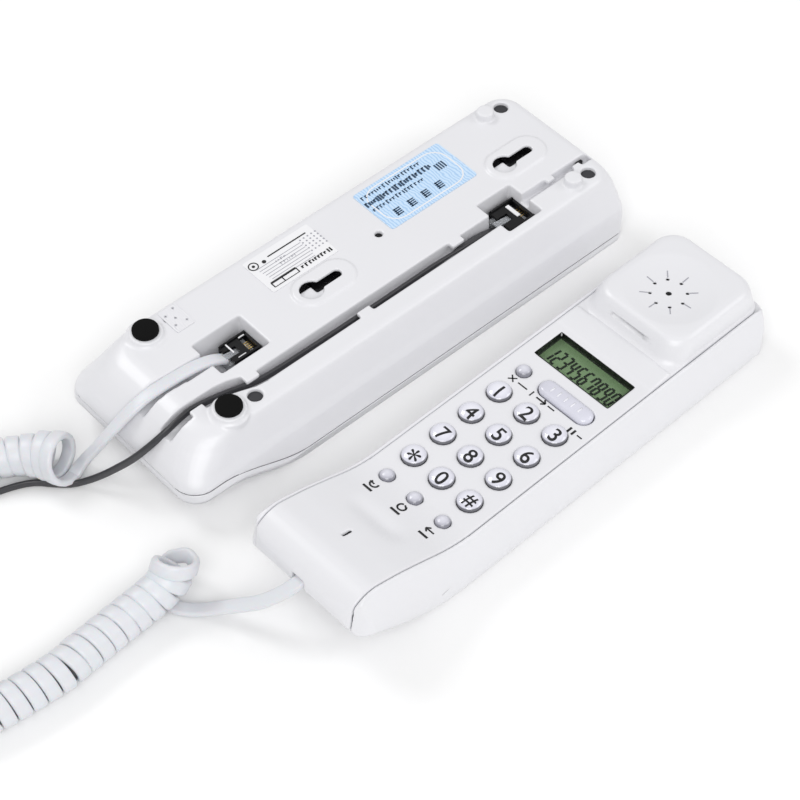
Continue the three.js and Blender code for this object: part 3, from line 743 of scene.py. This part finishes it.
def rear_cover():
    body = base_blank()
    cut(body, [prism(front_curve(3.55) + [(-120, -20), (120, -20)], "y", -60, 60)])
    join(body, [keyhole_pad(u) for u in KEYHOLES])
    join(body, [foot_boss(u, v) for u, v in FEET])
    join(body, [peg(u, v) for u, v in PEGS])
    cut(body, channel(LINE_RUNS, 5.8, CHANNEL_FLOOR) + channel(LEAD_RUNS, 6.6, CHANNEL_FLOOR))
    cut(body, [box(65, 99, -18.3, -14.7, 25.6, 45), box(44, 53, -20.5, -14.7, 21, 45),
               prism([(53, 45), (53, 19), (38, 24.5), (38, 45)], "y", -20.5, -14.7),
               prism([(-64, 45), (-77, 45), (-77, 24.5), (-64, 19.5)], "y", -3.3, 3.3),
               pocket(-64.6, -46, -7.2, 7.2, 18), pocket(52, 65.8, -24, -9, 18)])
    join(body, [channel_tab(*tab) for tab in TABS])
    join(body, [box(78, 81.4, -16.8, -13.8, 28.2, 30.05), box(90, 93.4, -19, -16.6, 28.2, 30.05)])
    for u in KEYHOLES:
        cut(body, keyhole(u))
    cut(body, [disc(u, v, 2.0 if (u, v) == SEALED else 2.7, 22, 45) for u, v in SCREWS])
    cut(body, [disc(*SMALL_HOLE, 1.5, 22, 45, 20)])
    return moulded(body, 0.38, 8, 0.45)


def recess(top, taper):
    """The hollow that takes the earpiece, narrower by taper at its top."""
    return stacked([(z, rounded(42.5 + g, 97 - g, -24.5 + g, 24.5 - g, 6))
                    for z, g in ((-2, 0), (top, taper))])


def front_housing():
    body = base_blank()
    keep(body, [prism(front_curve(0) + front_curve(3.25)[::-1], "y", -60, 60)])
    cut(body, [recess(3.6, 0.5)])
    tub = prism(rounded(40.5, 98.4, -26.5, 26.5, 7), "z", 2, 12)
    cut(tub, [recess(9.8, 1)])
    join(body, [tub])
    join(body, [box(41.5, 47.5, -6, 6, 3, 5)])
    cut(body, [box(78.7, 89.3, -3.3, 3.3, 5, 15)])
    return body


# Painted shade: grey discs just under the rims of the open screw holes stand in for the shade inside
# them.
hole_shades = [disc(u, v, 2.66, 27.6, 28.5) for u, v in SCREWS if (u, v) != SEALED]
on_base(islands(hole_shades), "screw_hole_shades", HOLE_SHADE_GREY)
# Painted shade: black blocks under the far side of each keyhole, a disc in the small hole and a block at
# the end of the upper channel stand in for the dark space there.
deep_shades = [disc(*SMALL_HOLE, 1.45, 22.1, 28.6, 20), box(93.6, 96.4, -15.9, -14.9, 25.7, 28)]
for hole in KEYHOLES:
    deep_shades += keyhole_deep(hole, 0.1, 27.4)
on_base(islands(deep_shades), "keyhole_shades", BLACK_PLASTIC_AND_SHADE)
seam = base_blank(0.3)
keep(seam, [prism(front_curve(3.0) + front_curve(3.8)[::-1], "y", -60, 60)])
on_base(seam, "seam_shade", SEAM_GREY)
on_base(rear_cover(), "rear_cover", WHITE, ["base_rear_cover"], True)
on_base(front_housing(), "front_housing", WHITE, ["base_front_housing"], True)
FOOT_PAD = [(0, 31.6), (4.5, 31.6), (4.68, 31.8), (4.68, 32.9), (4.45, 33.2), (4, 33.3), (0, 33.35)]
for foot, side in zip(FEET, ("left", "right")):
    on_base(turned(FOOT_PAD, *foot, 64), f"foot_pad_{side}", RUBBER, [f"rubber_foot_{side}"],
            True)

# ---- handset shells ----
FACE = [(-101.9, 24), (-101.3, 27), (-99.6, 29.8), (-97, 31.7), (-94, 32.75), (-91, 33), (-88, 32.4),
        (-84, 31.3), (-80, 30.2), (-75, 28.5), (-70, 26.7), (-66, 25.2), (-62, 23.7), (-58, 22.5),
        (-54, 21.6), (-50, 21.1), (-45, 21), (0, 21), (60, 21), (88, 20.7), (93, 20.2), (95.4, 19),
        (96.7, 17), (97.3, 14)]
UNDERSIDE = [(-101.9, 24), (-101.5, 20.4), (-99.8, 17.6), (-96, 14.8), (-92, 12.3), (-85.5, 8.3),
             (-79, 4.9), (-72.3, 2.2), (-65.5, 0.6), (-59, 0), (0, 0), (88, 0), (92, 0.4), (94.8, 1.8),
             (96.4, 4.4), (97.1, 8), (97.3, 14)]
SECTION = [(20.5, 0), (23.4, 0.012), (25.2, 0.04), (26.6, 0.09), (27.6, 0.16), (28, 0.235), (27.8, 0.34),
           (27.3, 0.455), (26.5, 0.58), (25.6, 0.72), (24.6, 0.87), (24.1, 0.94), (23.5, 0.985),
           (22.6, 1.0)]
# Corner radii of the plan by height, at the mouthpiece end and at the earpiece end.
PLAN_CORNERS = [(-5, (8, 11)), (12, (8, 11.5)), (16, (8, 13)), (18.5, (8.5, 14.5)), (20.5, (9.5, 15.5)),
                (25, (11.5, 15.5)), (30, (13, 15.5)), (50, (13, 15.5))]
EAR_BLOCK = [
    (18.6, 45.6, 96.4, 22.1, 8.5), (20.8, 46, 95.6, 21.8, 8.5), (21.3, 47.4, 95.5, 21.4, 8.5),
    (22.4, 48.8, 95.3, 21.3, 8.4), (25, 50.3, 94.8, 20.9, 8.4), (27.2, 51.6, 94.1, 20.3, 8.2),
    (28.5, 52.6, 93.3, 19.6, 8), (29.2, 53.8, 92.3, 18.5, 7.6), (29.4, 55.6, 90.6, 16.8, 6.6),
]
# The hollow face of the earpiece, as (distance from its middle, height).
DISH = [(0, 27.9), (4, 27.95), (8, 28.15), (12, 28.6), (15, 29.1), (17, 29.45), (17.5, 30), (17.5, 35),
        (0, 35)]


def at_x(x, curve):
    """The height of an (x, z) curve at x."""
    return float(np.interp(x, [p[0] for p in curve], [p[1] for p in curve]))


def handset_blank():
    face = smooth_curve(FACE[4:-3], 6)
    under = smooth_curve([(-102, 18.6), *UNDERSIDE[3:-4]], 6)
    rings = []
    for x in np.arange(-102, 98.1, 1.25):
        top = at_x(x, face)
        low = at_x(x, under)
        right = [(half, low + w * (top - low)) for half, w in SECTION]
        inner = [(half, right[-1][1]) for half in (16, 8)]
        bottom = [(half, right[0][1]) for half in (7, 14)]
        side = bottom + right + inner
        rings.append([(x, y, z) for y, z in side] + [(x, -y, z) for y, z in reversed(side)])
    body = loft(rings)
    outline = smooth_curve(FACE, 3) + smooth_curve(UNDERSIDE, 3)[::-1][1:-1]
    keep(body, [prism([tuple(p) for p in outline], "y", -60, 60)])
    keep(body, [stacked([(z, rounded(-101.9, 97.3, -28.1, 28.1, radii, 12))
                         for z, radii in PLAN_CORNERS])])
    return body


def under_face(depth, low_x=-101.9, wrap=2.3):
    """The region above the face lowered by depth, wrapped round the mouthpiece end."""
    top = [(x, z + 12) for x, z in FACE if -91 <= x <= 93]
    lowered = [(x, z - depth) for x, z in FACE if -91 <= x <= 93]
    end = [(low_x + wrap, 19.4), (low_x + wrap + 0.3, 25.5), (low_x + wrap + 2.4, 29.2),
           (-94, 32.75 - depth)]
    return [(-108, 19.4), *end, *lowered, (99, 20.2 - depth - 1.2), (99, 45), *top[::-1], (-108, 45)]


def key_places():
    """(name, x, y, radius) of every round key."""
    places = []
    for i, label in enumerate((1, 2, 3, 4, 5, 6, 7, 8, 9, "star", 0, "hash")):
        places.append((f"key_{label}", -(i // 3) * KEY_PITCH_X, (1 - i % 3) * KEY_PITCH_Y, KEY_RADIUS))
    for i, name in enumerate(("flash_key", "redial_key", "back_key")):
        places.append((name, FUNCTION_ROW, (1 - i) * KEY_PITCH_Y, SMALL_KEY_RADIUS))
    places.append(("delete_key", *DELETE_KEY_AT, SMALL_KEY_RADIUS))
    return places


def rocker_outline(grow, radius, steps):
    """The rocker's outline in plan, larger by grow all round."""
    x, y = ROCKER_AT
    half_x, half_y = ROCKER_HALF[0] + grow, ROCKER_HALF[1] + grow
    return rounded(x - half_x, x + half_x, y - half_y, y + half_y, radius, steps)


def lcd_box(grow, low, high):
    """A block the size of the display's hole, larger by grow all round."""
    return box(LCD[0] - grow, LCD[1] + grow, -LCD[2] - grow, LCD[2] + grow, low, high)


def dented(obj):
    """A shallow finger trough across the face, where it starts to rise to the mouthpiece."""
    count = len(obj.data.vertices)
    where = np.empty(count * 3)
    obj.data.vertices.foreach_get("co", where)
    where = where.reshape(count, 3)
    along = (where[:, 0] + 68.5) / 4.0
    across = where[:, 1] / 10.5
    depth = 1.4 * np.exp(-along**2 - across**4)
    where[:, 2] -= depth * (where[:, 2] > 15)
    obj.data.vertices.foreach_set("co", where.ravel())


def ear_spoke(i, distance):
    """A point on one of the eight spokes round the middle of the earpiece."""
    return polar(EAR_X, 0, distance, radians(45 * i))


def ear_holes(low, high, slack):
    """Tools for the holes of the earpiece, smaller by slack."""
    ring = [disc(*ear_spoke(i, EAR_RING), 0.72 - slack, low, high, 16) for i in range(8)]
    return [disc(EAR_X, 0, 1.1 - slack, low, high, 20), *ring]


def front_cover():
    body = handset_blank()
    keep(body, [prism(under_face(2.2), "y", -22.15, 22.15)])
    keep(body, [prism(rounded(-110, 95.3, -22.3, 22.3, (2, 7.5), 10), "z", 5, 60)])
    join(body, [prism([(36.3, 20), (36.6, 20.95), (37.6, 21.3), (47, 21.9), (47, 20)], "y", -21.4, 21.4)])
    join(body, [stacked([(z, rounded(x0, x1, -half, half, radius, 10))
                         for z, x0, x1, half, radius in EAR_BLOCK])])
    cut(body, [stacked([(z, rounded(53 + g, 90 - g, g - 17, 17 - g, 5))
                        for z, g in ((10, 0), (26, 1.2))]), turned(DISH, DISH_X, 0, 64)])
    cut(body, [disc(x, y, radius + 0.15, 10, 40) for _, x, y, radius in key_places()])
    cut(body, [prism(rocker_outline(0.3, 3.75, 8), "z", 10, 40), lcd_box(0, 10, 40),
               box(-110, -97.4, -1.7, 3.9, 10, 24.9),
               prism(rounded(MIC_X - 2.2, MIC_X + 2.2, -0.5, 0.5, 0.45, 4), "z", 26, 40)])
    moulded(body, 0.4, 6, 0.45, dented)
    cut(body, ear_holes(20, 40, 0.0) + [box(47.5, 52.2, -6, 8.6, 24.4, 25.7)])
    return body


def rear_shell():
    body = handset_blank()
    cut(body, [prism(under_face(2.4, wrap=2.5), "y", -22.45, 22.45)])
    cut(body, [prism(rounded(-110, 95.7, -22.45, 22.45, (2, 7.8), 10), "z", 19.4, 60)])
    cut(body, [box(-110, -94, -1.6, 3.8, 17.8, 26), box(-110, -100.5, -22.4, 22.4, 16.4, 60)])
    inside = [(-94, 18.5), (-90, 14.5), (-80, 8.5), (-70, 5), (-62, 2.8), (90, 2.8), (92.5, 6),
              (92.5, 45), (-94, 45)]
    cut(body, [prism(inside, "y", -20.3, 20.3), *[disc(x, 0, 2.5, -2, 4.2) for x in (84, -34)]])
    moulded(body, 0.42, 6, 0.4)
    cut(body, [box(-66, 90, side * 28 - 0.45, side * 28 + 0.45, 9.3, 9.6) for side in (-1, 1)])
    return body


on_handset(front_cover(), "front_cover", WHITE, ["handset_front_cover"], True)
on_handset(rear_shell(), "rear_shell", WHITE, ["handset_rear_shell"], True)

# ---- prints ----
def bar(x0, y0, x1, y1, width, low=0.0, high=0.1):
    """A printed line from one point to another."""
    along = Vector((x1 - x0, y1 - y0)).normalized() * 0.5 * width
    side = Vector((-along.y, along.x))
    a, b = Vector((x0, y0)), Vector((x1, y1))
    return prism([a - side, b - side, b + side, a + side], "z", low, high)


def ring_mark(x, y, radius, width, start=0, sweep=360):
    """A printed ring, or a part of one."""
    steps = max(6, int(sweep / 15))
    shapes = []
    for i in range(steps):
        a, b = (radians(start + sweep * k / steps) for k in (i, i + 1.08))
        shapes.append(bar(*polar(x, y, radius, a), *polar(x, y, radius, b), width))
    return shapes


def draped(obj, height):
    """Lays a flat print on a surface: height gives the surface at a point."""
    for vertex in obj.data.vertices:
        vertex.co.z += height(vertex.co.x, vertex.co.y)
    return obj


def words(x0, x1, y, height, seed, width, upright):
    """A printed row: short bars of uneven length and spacing, in place of lettering."""
    shapes = []
    x = x0
    k = seed
    while x < x1:
        k = (k * 37 + 11) % 101
        tall = height * (0.55 + 0.45 * (k % 5) / 4)
        shapes.append(bar(x, y - tall / 2, x, y + tall / 2, upright))
        if k % 3:
            shapes.append(bar(x, y + tall / 2 - 0.2, x + 0.8, y + tall / 2 - 0.2, width))
        x += 1.05 + 0.35 * (k % 3)
    return shapes


def plate(u0, u1, v0, v1, radius):
    return prism(rounded(u0, u1, v0, v1, radius, 5), "z", 30.04, 30.22)


def on_label(shapes, name, material, height=LABEL_TOP):
    on_base(draped(islands(shapes), lambda u, v: height), name, material)


on_base(plate(-29.6, -0.2, 7.9, 25.3, 0.6), "rating_plate", PAPER_AND_GLINT_WHITE, ["rating_label"])
lines = [bar(-27.4 + 0.3 * i, 19.8 - 1.35 * i, -7.6, 19.8 - 1.35 * i, 0.2) for i in range(7)]
lines += words(-19.6, -15, 18.6, 1.1, 3, 0.2, 0.22) + words(-19, -12, 16.6, 1.2, 8, 0.2, 0.22)
lines += [disc(-7 + 1.7 * i, 20.6 - 1.6 * j, 0.36, 0, 0.1, 8) for i in range(5) for j in range(5)]
on_label(lines, "rating_lines", PALE_PRINT)
heads = [bar(-20.5, 22.2, -3.2, 22.2, 0.5), disc(-22.9, 21.2, 0.8, 0, 0.1, 12),
         disc(-27.2, 21.8, 0.6, 0, 0.1, 12)]
heads += ring_mark(-27.2, 21.8, 1.75, 0.42)
heads += [bar(-27.6, 11.7, -16.6, 11.7, 0.85), bar(-27.6, 9.4, -16.6, 9.4, 0.28)]
heads += [bar(u, 9.3, u, 11.8, 0.4) for u in (-27.6, -23, -16.6)]
heads += words(-14.6, -1.6, 10.4, 2.1, 5, 0.4, 0.6)
on_label(heads, "rating_heads", DARK_PRINT, LABEL_TOP + 0.01)

on_base(plate(20.7, 61.8, 2.9, 24.6, 1.2), "approval_plate", BLUE_LABEL, ["approval_label"])
rows = words(22.4, 49.5, 21.2, 1.9, 7, 0.34, 0.5) + words(21.6, 51.5, 17.6, 2.6, 4, 0.6, 0.8)
rows += words(22, 46, 14.2, 1.9, 9, 0.34, 0.5)
for i in range(4):
    start = 26.6 + 6.6 * i
    rows += [bar(start + 0.1 * k, 6.8 + 0.95 * k, start + 3 + 0.1 * k, 6.8 + 0.95 * k, 0.5)
             for k in range(4)]
    rows.append(bar(start + 0.7, 6.5, start + 0.9, 10, 0.5))
rows += [bar(53 + 1.1 * k, 13.4, 53 + 1.1 * k, 16.8, 0.6) for k in range(4)]
on_label(rows, "approval_rows", BLUE_PRINT, LABEL_TOP + 0.01)
edge = rounded(23, 59.6, 4.6, 23, 6, 6)
on_label([bar(*a, *b, 0.5) for a, b in zip(edge, edge[1:] + edge[:1])], "approval_border", PAPER_AND_GLINT_WHITE)

on_base(plate(-65.6, -57.8, 15.5, 26.9, 0.5), "seal_plate", SEAL_LABEL, ["seal_label"])
specks = []
for u, v in ((-64, 18.6), (-59.5, 18.2), (-64.2, 24), (-60, 25.4), (-62, 21.3)):
    specks += [bar(u - 0.5, v, u + 0.5, v, 0.3), bar(u, v - 0.5, u, v + 0.5, 0.3)]
on_label(specks, "seal_specks", PALE_PRINT)


# ---- jacks and plugs ----
# Half widths of the two jacks, where the line jack lies, and the contacts' places in pitches.
LEAD_JACK = 4.9
LINE_JACK = 6.1
LINE_JACK_V = -16.4
CONTACTS = (-1.5, -0.5, 0.5, 1.5)


def jack_body(u0, u1, v, half):
    """A jack seen from above: an open box with two rims."""
    body = box(u0, u1, v - half, v + half, 18.3, 25.2)
    cut(body, [box(u0 - 1, u1 - 1.4, v - half + 1, v + half - 1, 19.4, 24),
               box(u0 - 1, u0 + 4.4, v - 1.7, v + 1.7, 23, 27),
               box(u1 - 4.2, u1 - 1, v - half + 1.2, v + half - 1.2, 23, 27)])
    for middle in (v - (half - 0.55), v + (half - 0.55)):
        join(body, [box(u0 + 0.3, u1 - 0.3, middle - 0.35, middle + 0.35, 25, 25.8)])
    return body


def plug_body(u0, u1, v, half):
    """A modular plug: a stepped clear block with its contact slots and its latch."""
    width = half - 1.3
    body = box(u0, u1, v - width, v + width, 19.7, 23.2)
    join(body, [box(u0, u0 + 5.4, v - width * 0.92, v + width * 0.92, 19.8, 23.6)])
    join(body, [prism([(u1 - 1.2, 23.1), (u1 - 1.2, 23.6), (u0 - 1, 25.4), (u0 - 1, 24.8)], "y",
                      v - 1.2, v + 1.2)])
    cut(body, [box(u1 - 3.4, u1 + 1, v + 0.95 * k - 0.25, v + 0.95 * k + 0.25, 19, 20.8)
               for k in CONTACTS])
    return body


on_base(jack_body(-57, -45.6, 0, LEAD_JACK), "handset_jack_body", BLACK_PLASTIC_AND_SHADE, ["handset_jack"])
on_base(jack_body(55, 66.4, LINE_JACK_V, LINE_JACK), "line_jack_body", BLACK_PLASTIC_AND_SHADE, ["line_jack"])
on_base(plug_body(-58.6, -47.4, 0, LEAD_JACK), "handset_plug_body", CLEAR, ["handset_cord_plug"])
on_base(plug_body(53.2, 64.6, LINE_JACK_V, LINE_JACK), "line_plug_body", CLEAR, ["line_plug"])
wires = [bar(-50.2, 0.95 * k, -47, 0.95 * k, 0.3, 23.3, 23.6) for k in CONTACTS]
wires += [bar(62, LINE_JACK_V + 1.1 * k, 65, LINE_JACK_V + 1.1 * k, 0.3, 23.3, 23.6) for k in CONTACTS]
on_base(islands(wires), "jack_contacts", BRASS)
# Painted highlights: thin white strips on the jacks' rims stand in for glints of light.
painted_glints = [bar(-54.6, -0.6, -54.6, 4.1, 0.5, 25.2, 25.5), bar(-50.6, -3.2, -50.6, 3.2, 0.3, 24.6, 24.9),
          bar(-54.8, -3.4, -51.6, -3.4, 0.3, 25.2, 25.5), bar(-49.4, 3.4, -47, 3.4, 0.35, 25.2, 25.6),
          bar(61.9, -18.6, 61.9, -12.3, 1.5, 24.9, 25.5)]
on_base(islands(painted_glints), "jack_painted_glints", PAPER_AND_GLINT_WHITE)

# ---- keys and display ----
READING = Matrix.Rotation(radians(-90), 4, "Z")
KEY_BOTTOM = 18.2


def dome_cap(x, y, radius, rim, height):
    """A key cap: a straight side from KEY_BOTTOM to the rim, and a dome on it."""
    profile = [(0, KEY_BOTTOM), (radius, KEY_BOTTOM), (radius, rim)]
    for i in range(1, 13):
        angle = radians(7.5 * i)
        profile.append((radius * cos(angle), rim + height * sin(angle)))
    return turned(profile, x, y, 56)


def glyph(text, size):
    """A solid of one printed character, centred, reading towards -Y with its top towards +X."""
    curve = bpy.data.curves.new("glyph", "FONT")
    curve.body = text
    curve.size = size
    curve.align_x = "CENTER"
    curve.align_y = "CENTER"
    curve.extrude = 0.05
    curve.bevel_depth = 0.09
    curve.bevel_resolution = 0
    curve.resolution_u = 6
    holder = linked("glyph", curve)
    mesh = evaluated(holder)
    bpy.data.objects.remove(holder)
    mesh.transform(READING)
    centre = [(min(c) + max(c)) / 2 for c in zip(*[v.co[:2] for v in mesh.vertices])]
    mesh.transform(Matrix.Translation((-centre[0], -centre[1], 0)))
    return linked("glyph", mesh)


def finely_cut(obj, longest):
    """Splits long edges so that a print can follow a curved surface."""
    editing = bmesh.new()
    editing.from_mesh(obj.data)
    bmesh.ops.triangulate(editing, faces=editing.faces)
    for _ in range(3):
        long_edges = [edge for edge in editing.edges if edge.calc_length() > longest]
        if not long_edges:
            break
        bmesh.ops.subdivide_edges(editing, edges=long_edges, cuts=1)
        bmesh.ops.triangulate(editing, faces=editing.faces)
    editing.to_mesh(obj.data)
    editing.free()


SYMBOLS = {"star": "*", "hash": "#"}
DIGIT_SIZES = {"star": 10.5, "hash": 6.8}
DIGIT_SIZE = 7.5


def add_digit(name, x, y):
    """The print on a dialling key, laid on its dome."""
    def dome(px, py):
        distance = hypot(px - x, py - y)
        return KEY_RIM + KEY_RISE * sqrt(max(0.0, 1 - (distance / KEY_RADIUS) ** 2))

    label = name.split("_")[1]
    digit = glyph(SYMBOLS.get(label, label), DIGIT_SIZES.get(label, DIGIT_SIZE))
    digit.data.transform(Matrix.Translation((x + DIGIT_SHIFT, y + DIGIT_SHIFT, 0)))
    finely_cut(digit, 0.7)
    settle(draped(digit, dome), name + "_digit", HANDSET_AT, name + "_body", DARK_PRINT, smooth=False)


DIALLING = (KEY_RIM, KEY_RISE, KEY_CAP_PAINTED_SHADE, "clear_plastic")
FUNCTION = (SMALL_KEY_RIM, SMALL_KEY_RISE, SILVER_PAINTED_RIM_SHADE, "silver_plastic")
for name, x, y, radius in key_places():
    dialling = radius == KEY_RADIUS
    rim, rise, look, slot = DIALLING if dialling else FUNCTION
    cap = dome_cap(x, y, radius, rim, rise)
    settle(cap, name + "_cap", HANDSET_AT, name + "_body", look, [name])
    if dialling:
        add_digit(name, x, y)

ROCKER_LEVELS = [(KEY_BOTTOM, 0.03), (21.2, 0.03), (21.6, 0.12), (22, 0.4), (22.35, 0.9), (22.55, 1.6),
                 (22.6, 2.5)]
rocker = stacked([(z, rocker_outline(-g, (ROCKER_HALF[0] - g) * 0.995, 12)) for z, g in ROCKER_LEVELS])
settle(rocker, "rocker_cap", HANDSET_AT, "rocker_body", ROCKER_CLEAR, ["rocker_key"])
rocker_ribs = []
for k in range(-2, 3):
    across = ROCKER_AT[1] + 3.1 * k
    rocker_ribs.append(bar(ROCKER_AT[0] - 1.3, across, ROCKER_AT[0] + 1.3, across, 0.6, 22.4, 22.68))
settle(islands(rocker_ribs), "rocker_ribs", HANDSET_AT, "rocker_body", KEY_BED)

well = lcd_box(0.02, LCD_PANEL, 20.9)
cut(well, [lcd_box(-0.2, 17, 22)])
on_handset(well, "display_well", BLACK_PLASTIC_AND_SHADE)
on_handset(lcd_box(1, 15.9, LCD_PANEL), "display_panel", LCD_GREEN, ["lcd_panel"])
on_handset(lcd_box(-0.25, 18.6, 18.9), "display_window", WINDOW, ["lcd_window"])

SEGMENTS = {"a": ((0, 2), (1, 2)), "b": ((1, 2), (1, 1)), "c": ((1, 1), (1, 0)), "d": ((0, 0), (1, 0)),
            "e": ((0, 1), (0, 0)), "f": ((0, 2), (0, 1)), "g": ((0, 1), (1, 1))}
LIT = ["bc", "abged", "abgcd", "fgbc", "afgcd", "afgedc", "fabc", "abcdefg", "abcdfg", "abcdef"]
DIGIT_TALL = 6.6
DIGIT_WIDE = 1.7
DIGIT_LEAN = 0.8
DIGIT_PITCH = 3.14
FIRST_DIGIT = 15.6
DIGIT_ROW = 24.1


def lcd_corner(a, b, y):
    """Where a corner of a digit lies: its top is towards +X and it reads towards -Y."""
    return np.array((DIGIT_ROW + b * DIGIT_TALL / 2, y - (a * DIGIT_WIDE + b * DIGIT_LEAN / 2)))


def lcd_digit(segments, y):
    """Seven-segment digit, each segment a little shorter than its side."""
    shapes = []
    for key in segments:
        first, last = (lcd_corner(a, b, y) for a, b in SEGMENTS[key])
        gap = (last - first) * 0.06
        shapes.append(bar(*(first + gap), *(last - gap), LCD_STROKE))
    return shapes


ink = [shape for i, lit in enumerate(LIT) for shape in lcd_digit(lit, FIRST_DIGIT - DIGIT_PITCH * i)]
on_handset(draped(islands(ink), lambda x, y: LCD_PANEL), "display_digits", LCD_INK)


# ---- key legends: generic icons ----
def arrow(x, y, towards, length):
    tip = y + towards * length / 2
    return [bar(x, y - towards * length / 2, x, tip, 0.6), bar(x, tip, x + 1.2, tip - towards * 1.3, 0.6),
            bar(x, tip, x - 1.2, tip - towards * 1.3, 0.6)]


legends = [bar(6.4, 15.2, 8.6, 12.8, 0.5), bar(8.6, 15.2, 6.4, 12.8, 0.5), bar(7.5, 11.4, 7.5, 7.2, 0.5)]
legends += arrow(7.4, 0.6, -1, 4.2) + [bar(7.4, -2.6, 7.4, -5.6, 0.5), bar(8.6, 4.9, 6.2, 4.9, 0.5)]
legends += [bar(6.6, -14.6, 4.2, -14.6, 0.8), bar(6.6, -16.4, 4.2, -16.4, 0.8),
            bar(5.4, -18, 5.4, -20.2, 0.5)]
legends += ring_mark(LEGEND_ROW, 12.6, 1.5, 0.65, 60, 240)
legends += [bar(LEGEND_ROW, 14.6, LEGEND_ROW, 12.6, 0.6)]
legends += ring_mark(LEGEND_ROW, -0.4, 1.5, 0.65, 20, 300) + [bar(-56.4, -0.4, -57.4, -1.9, 0.6)]
legends += arrow(LEGEND_ROW, -13.4, 1, 3.6)
legends += [bar(-61, y + 2, -61, y - 2, 0.9) for y in (12.6, -0.4, -13.4)]
on_handset(draped(islands(legends), lambda x, y: at_x(x, FACE) - 0.02), "legends", DARK_PRINT)
rays = [bar(*ear_spoke(i, 7.2), *ear_spoke(i, 10.2), 0.4, 0, 0.16) for i in range(8)]
RAY_BED = [(0, 27.9), (8, 28.15), (12, 28.6), (15, 29.1)]
on_handset(draped(islands(rays), lambda x, y: at_x(hypot(x - DISH_X, y), RAY_BED) - 0.08),
           "earpiece_rays", PALE_PRINT)
# Painted shade: black discs a little below the earpiece's face fill its holes, in place of the dark space
# behind them.
on_handset(islands(ear_holes(25.9, 27.5, 0.04)), "earpiece_hole_shades", BLACK_PLASTIC_AND_SHADE)
on_handset(box(-84.4, -78.8, -1, 1, 27.6, 29.3), "microphone_cloth", BLACK_PLASTIC_AND_SHADE)

# ---- the end plug and the inner pieces ----
end_plug = plug_body(-5.85, 5.85, 0, 6)
END_PLUG_AT = Matrix.Translation((-214.5, 23.1, 8.9)) @ Matrix.Rotation(radians(-48), 4, "Z")
end_plug.data.transform(END_PLUG_AT @ Matrix.Translation((0, 0, -21.5)))
settle(end_plug, "line_end_plug_body", Matrix.Identity(4), "base", CLEAR, ["line_end_plug"],
       False)
# The CAD nodes that are shown as they are, each with its material.
KEPT = [
    (STEEL, ["base_screw_1", "base_screw_2", "base_screw_3", "base_screw_4", "handset_screw_1",
             "handset_screw_2", "microphone_capsule"]),
    (BOARD, ["base_board", "main_board"]),
    (BLACK_PLASTIC_AND_SHADE, ["ringer_buzzer", "hook_switch", "receiver_capsule", "cord_clamp"]),
    (KEY_BED, ["keypad_mat"]),
    (WHITE, ["hook_plunger"]),
]
for material, names in KEPT:
    for name in names:
        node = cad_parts[name]
        node.data.materials.clear()
        node.data.materials.append(material)
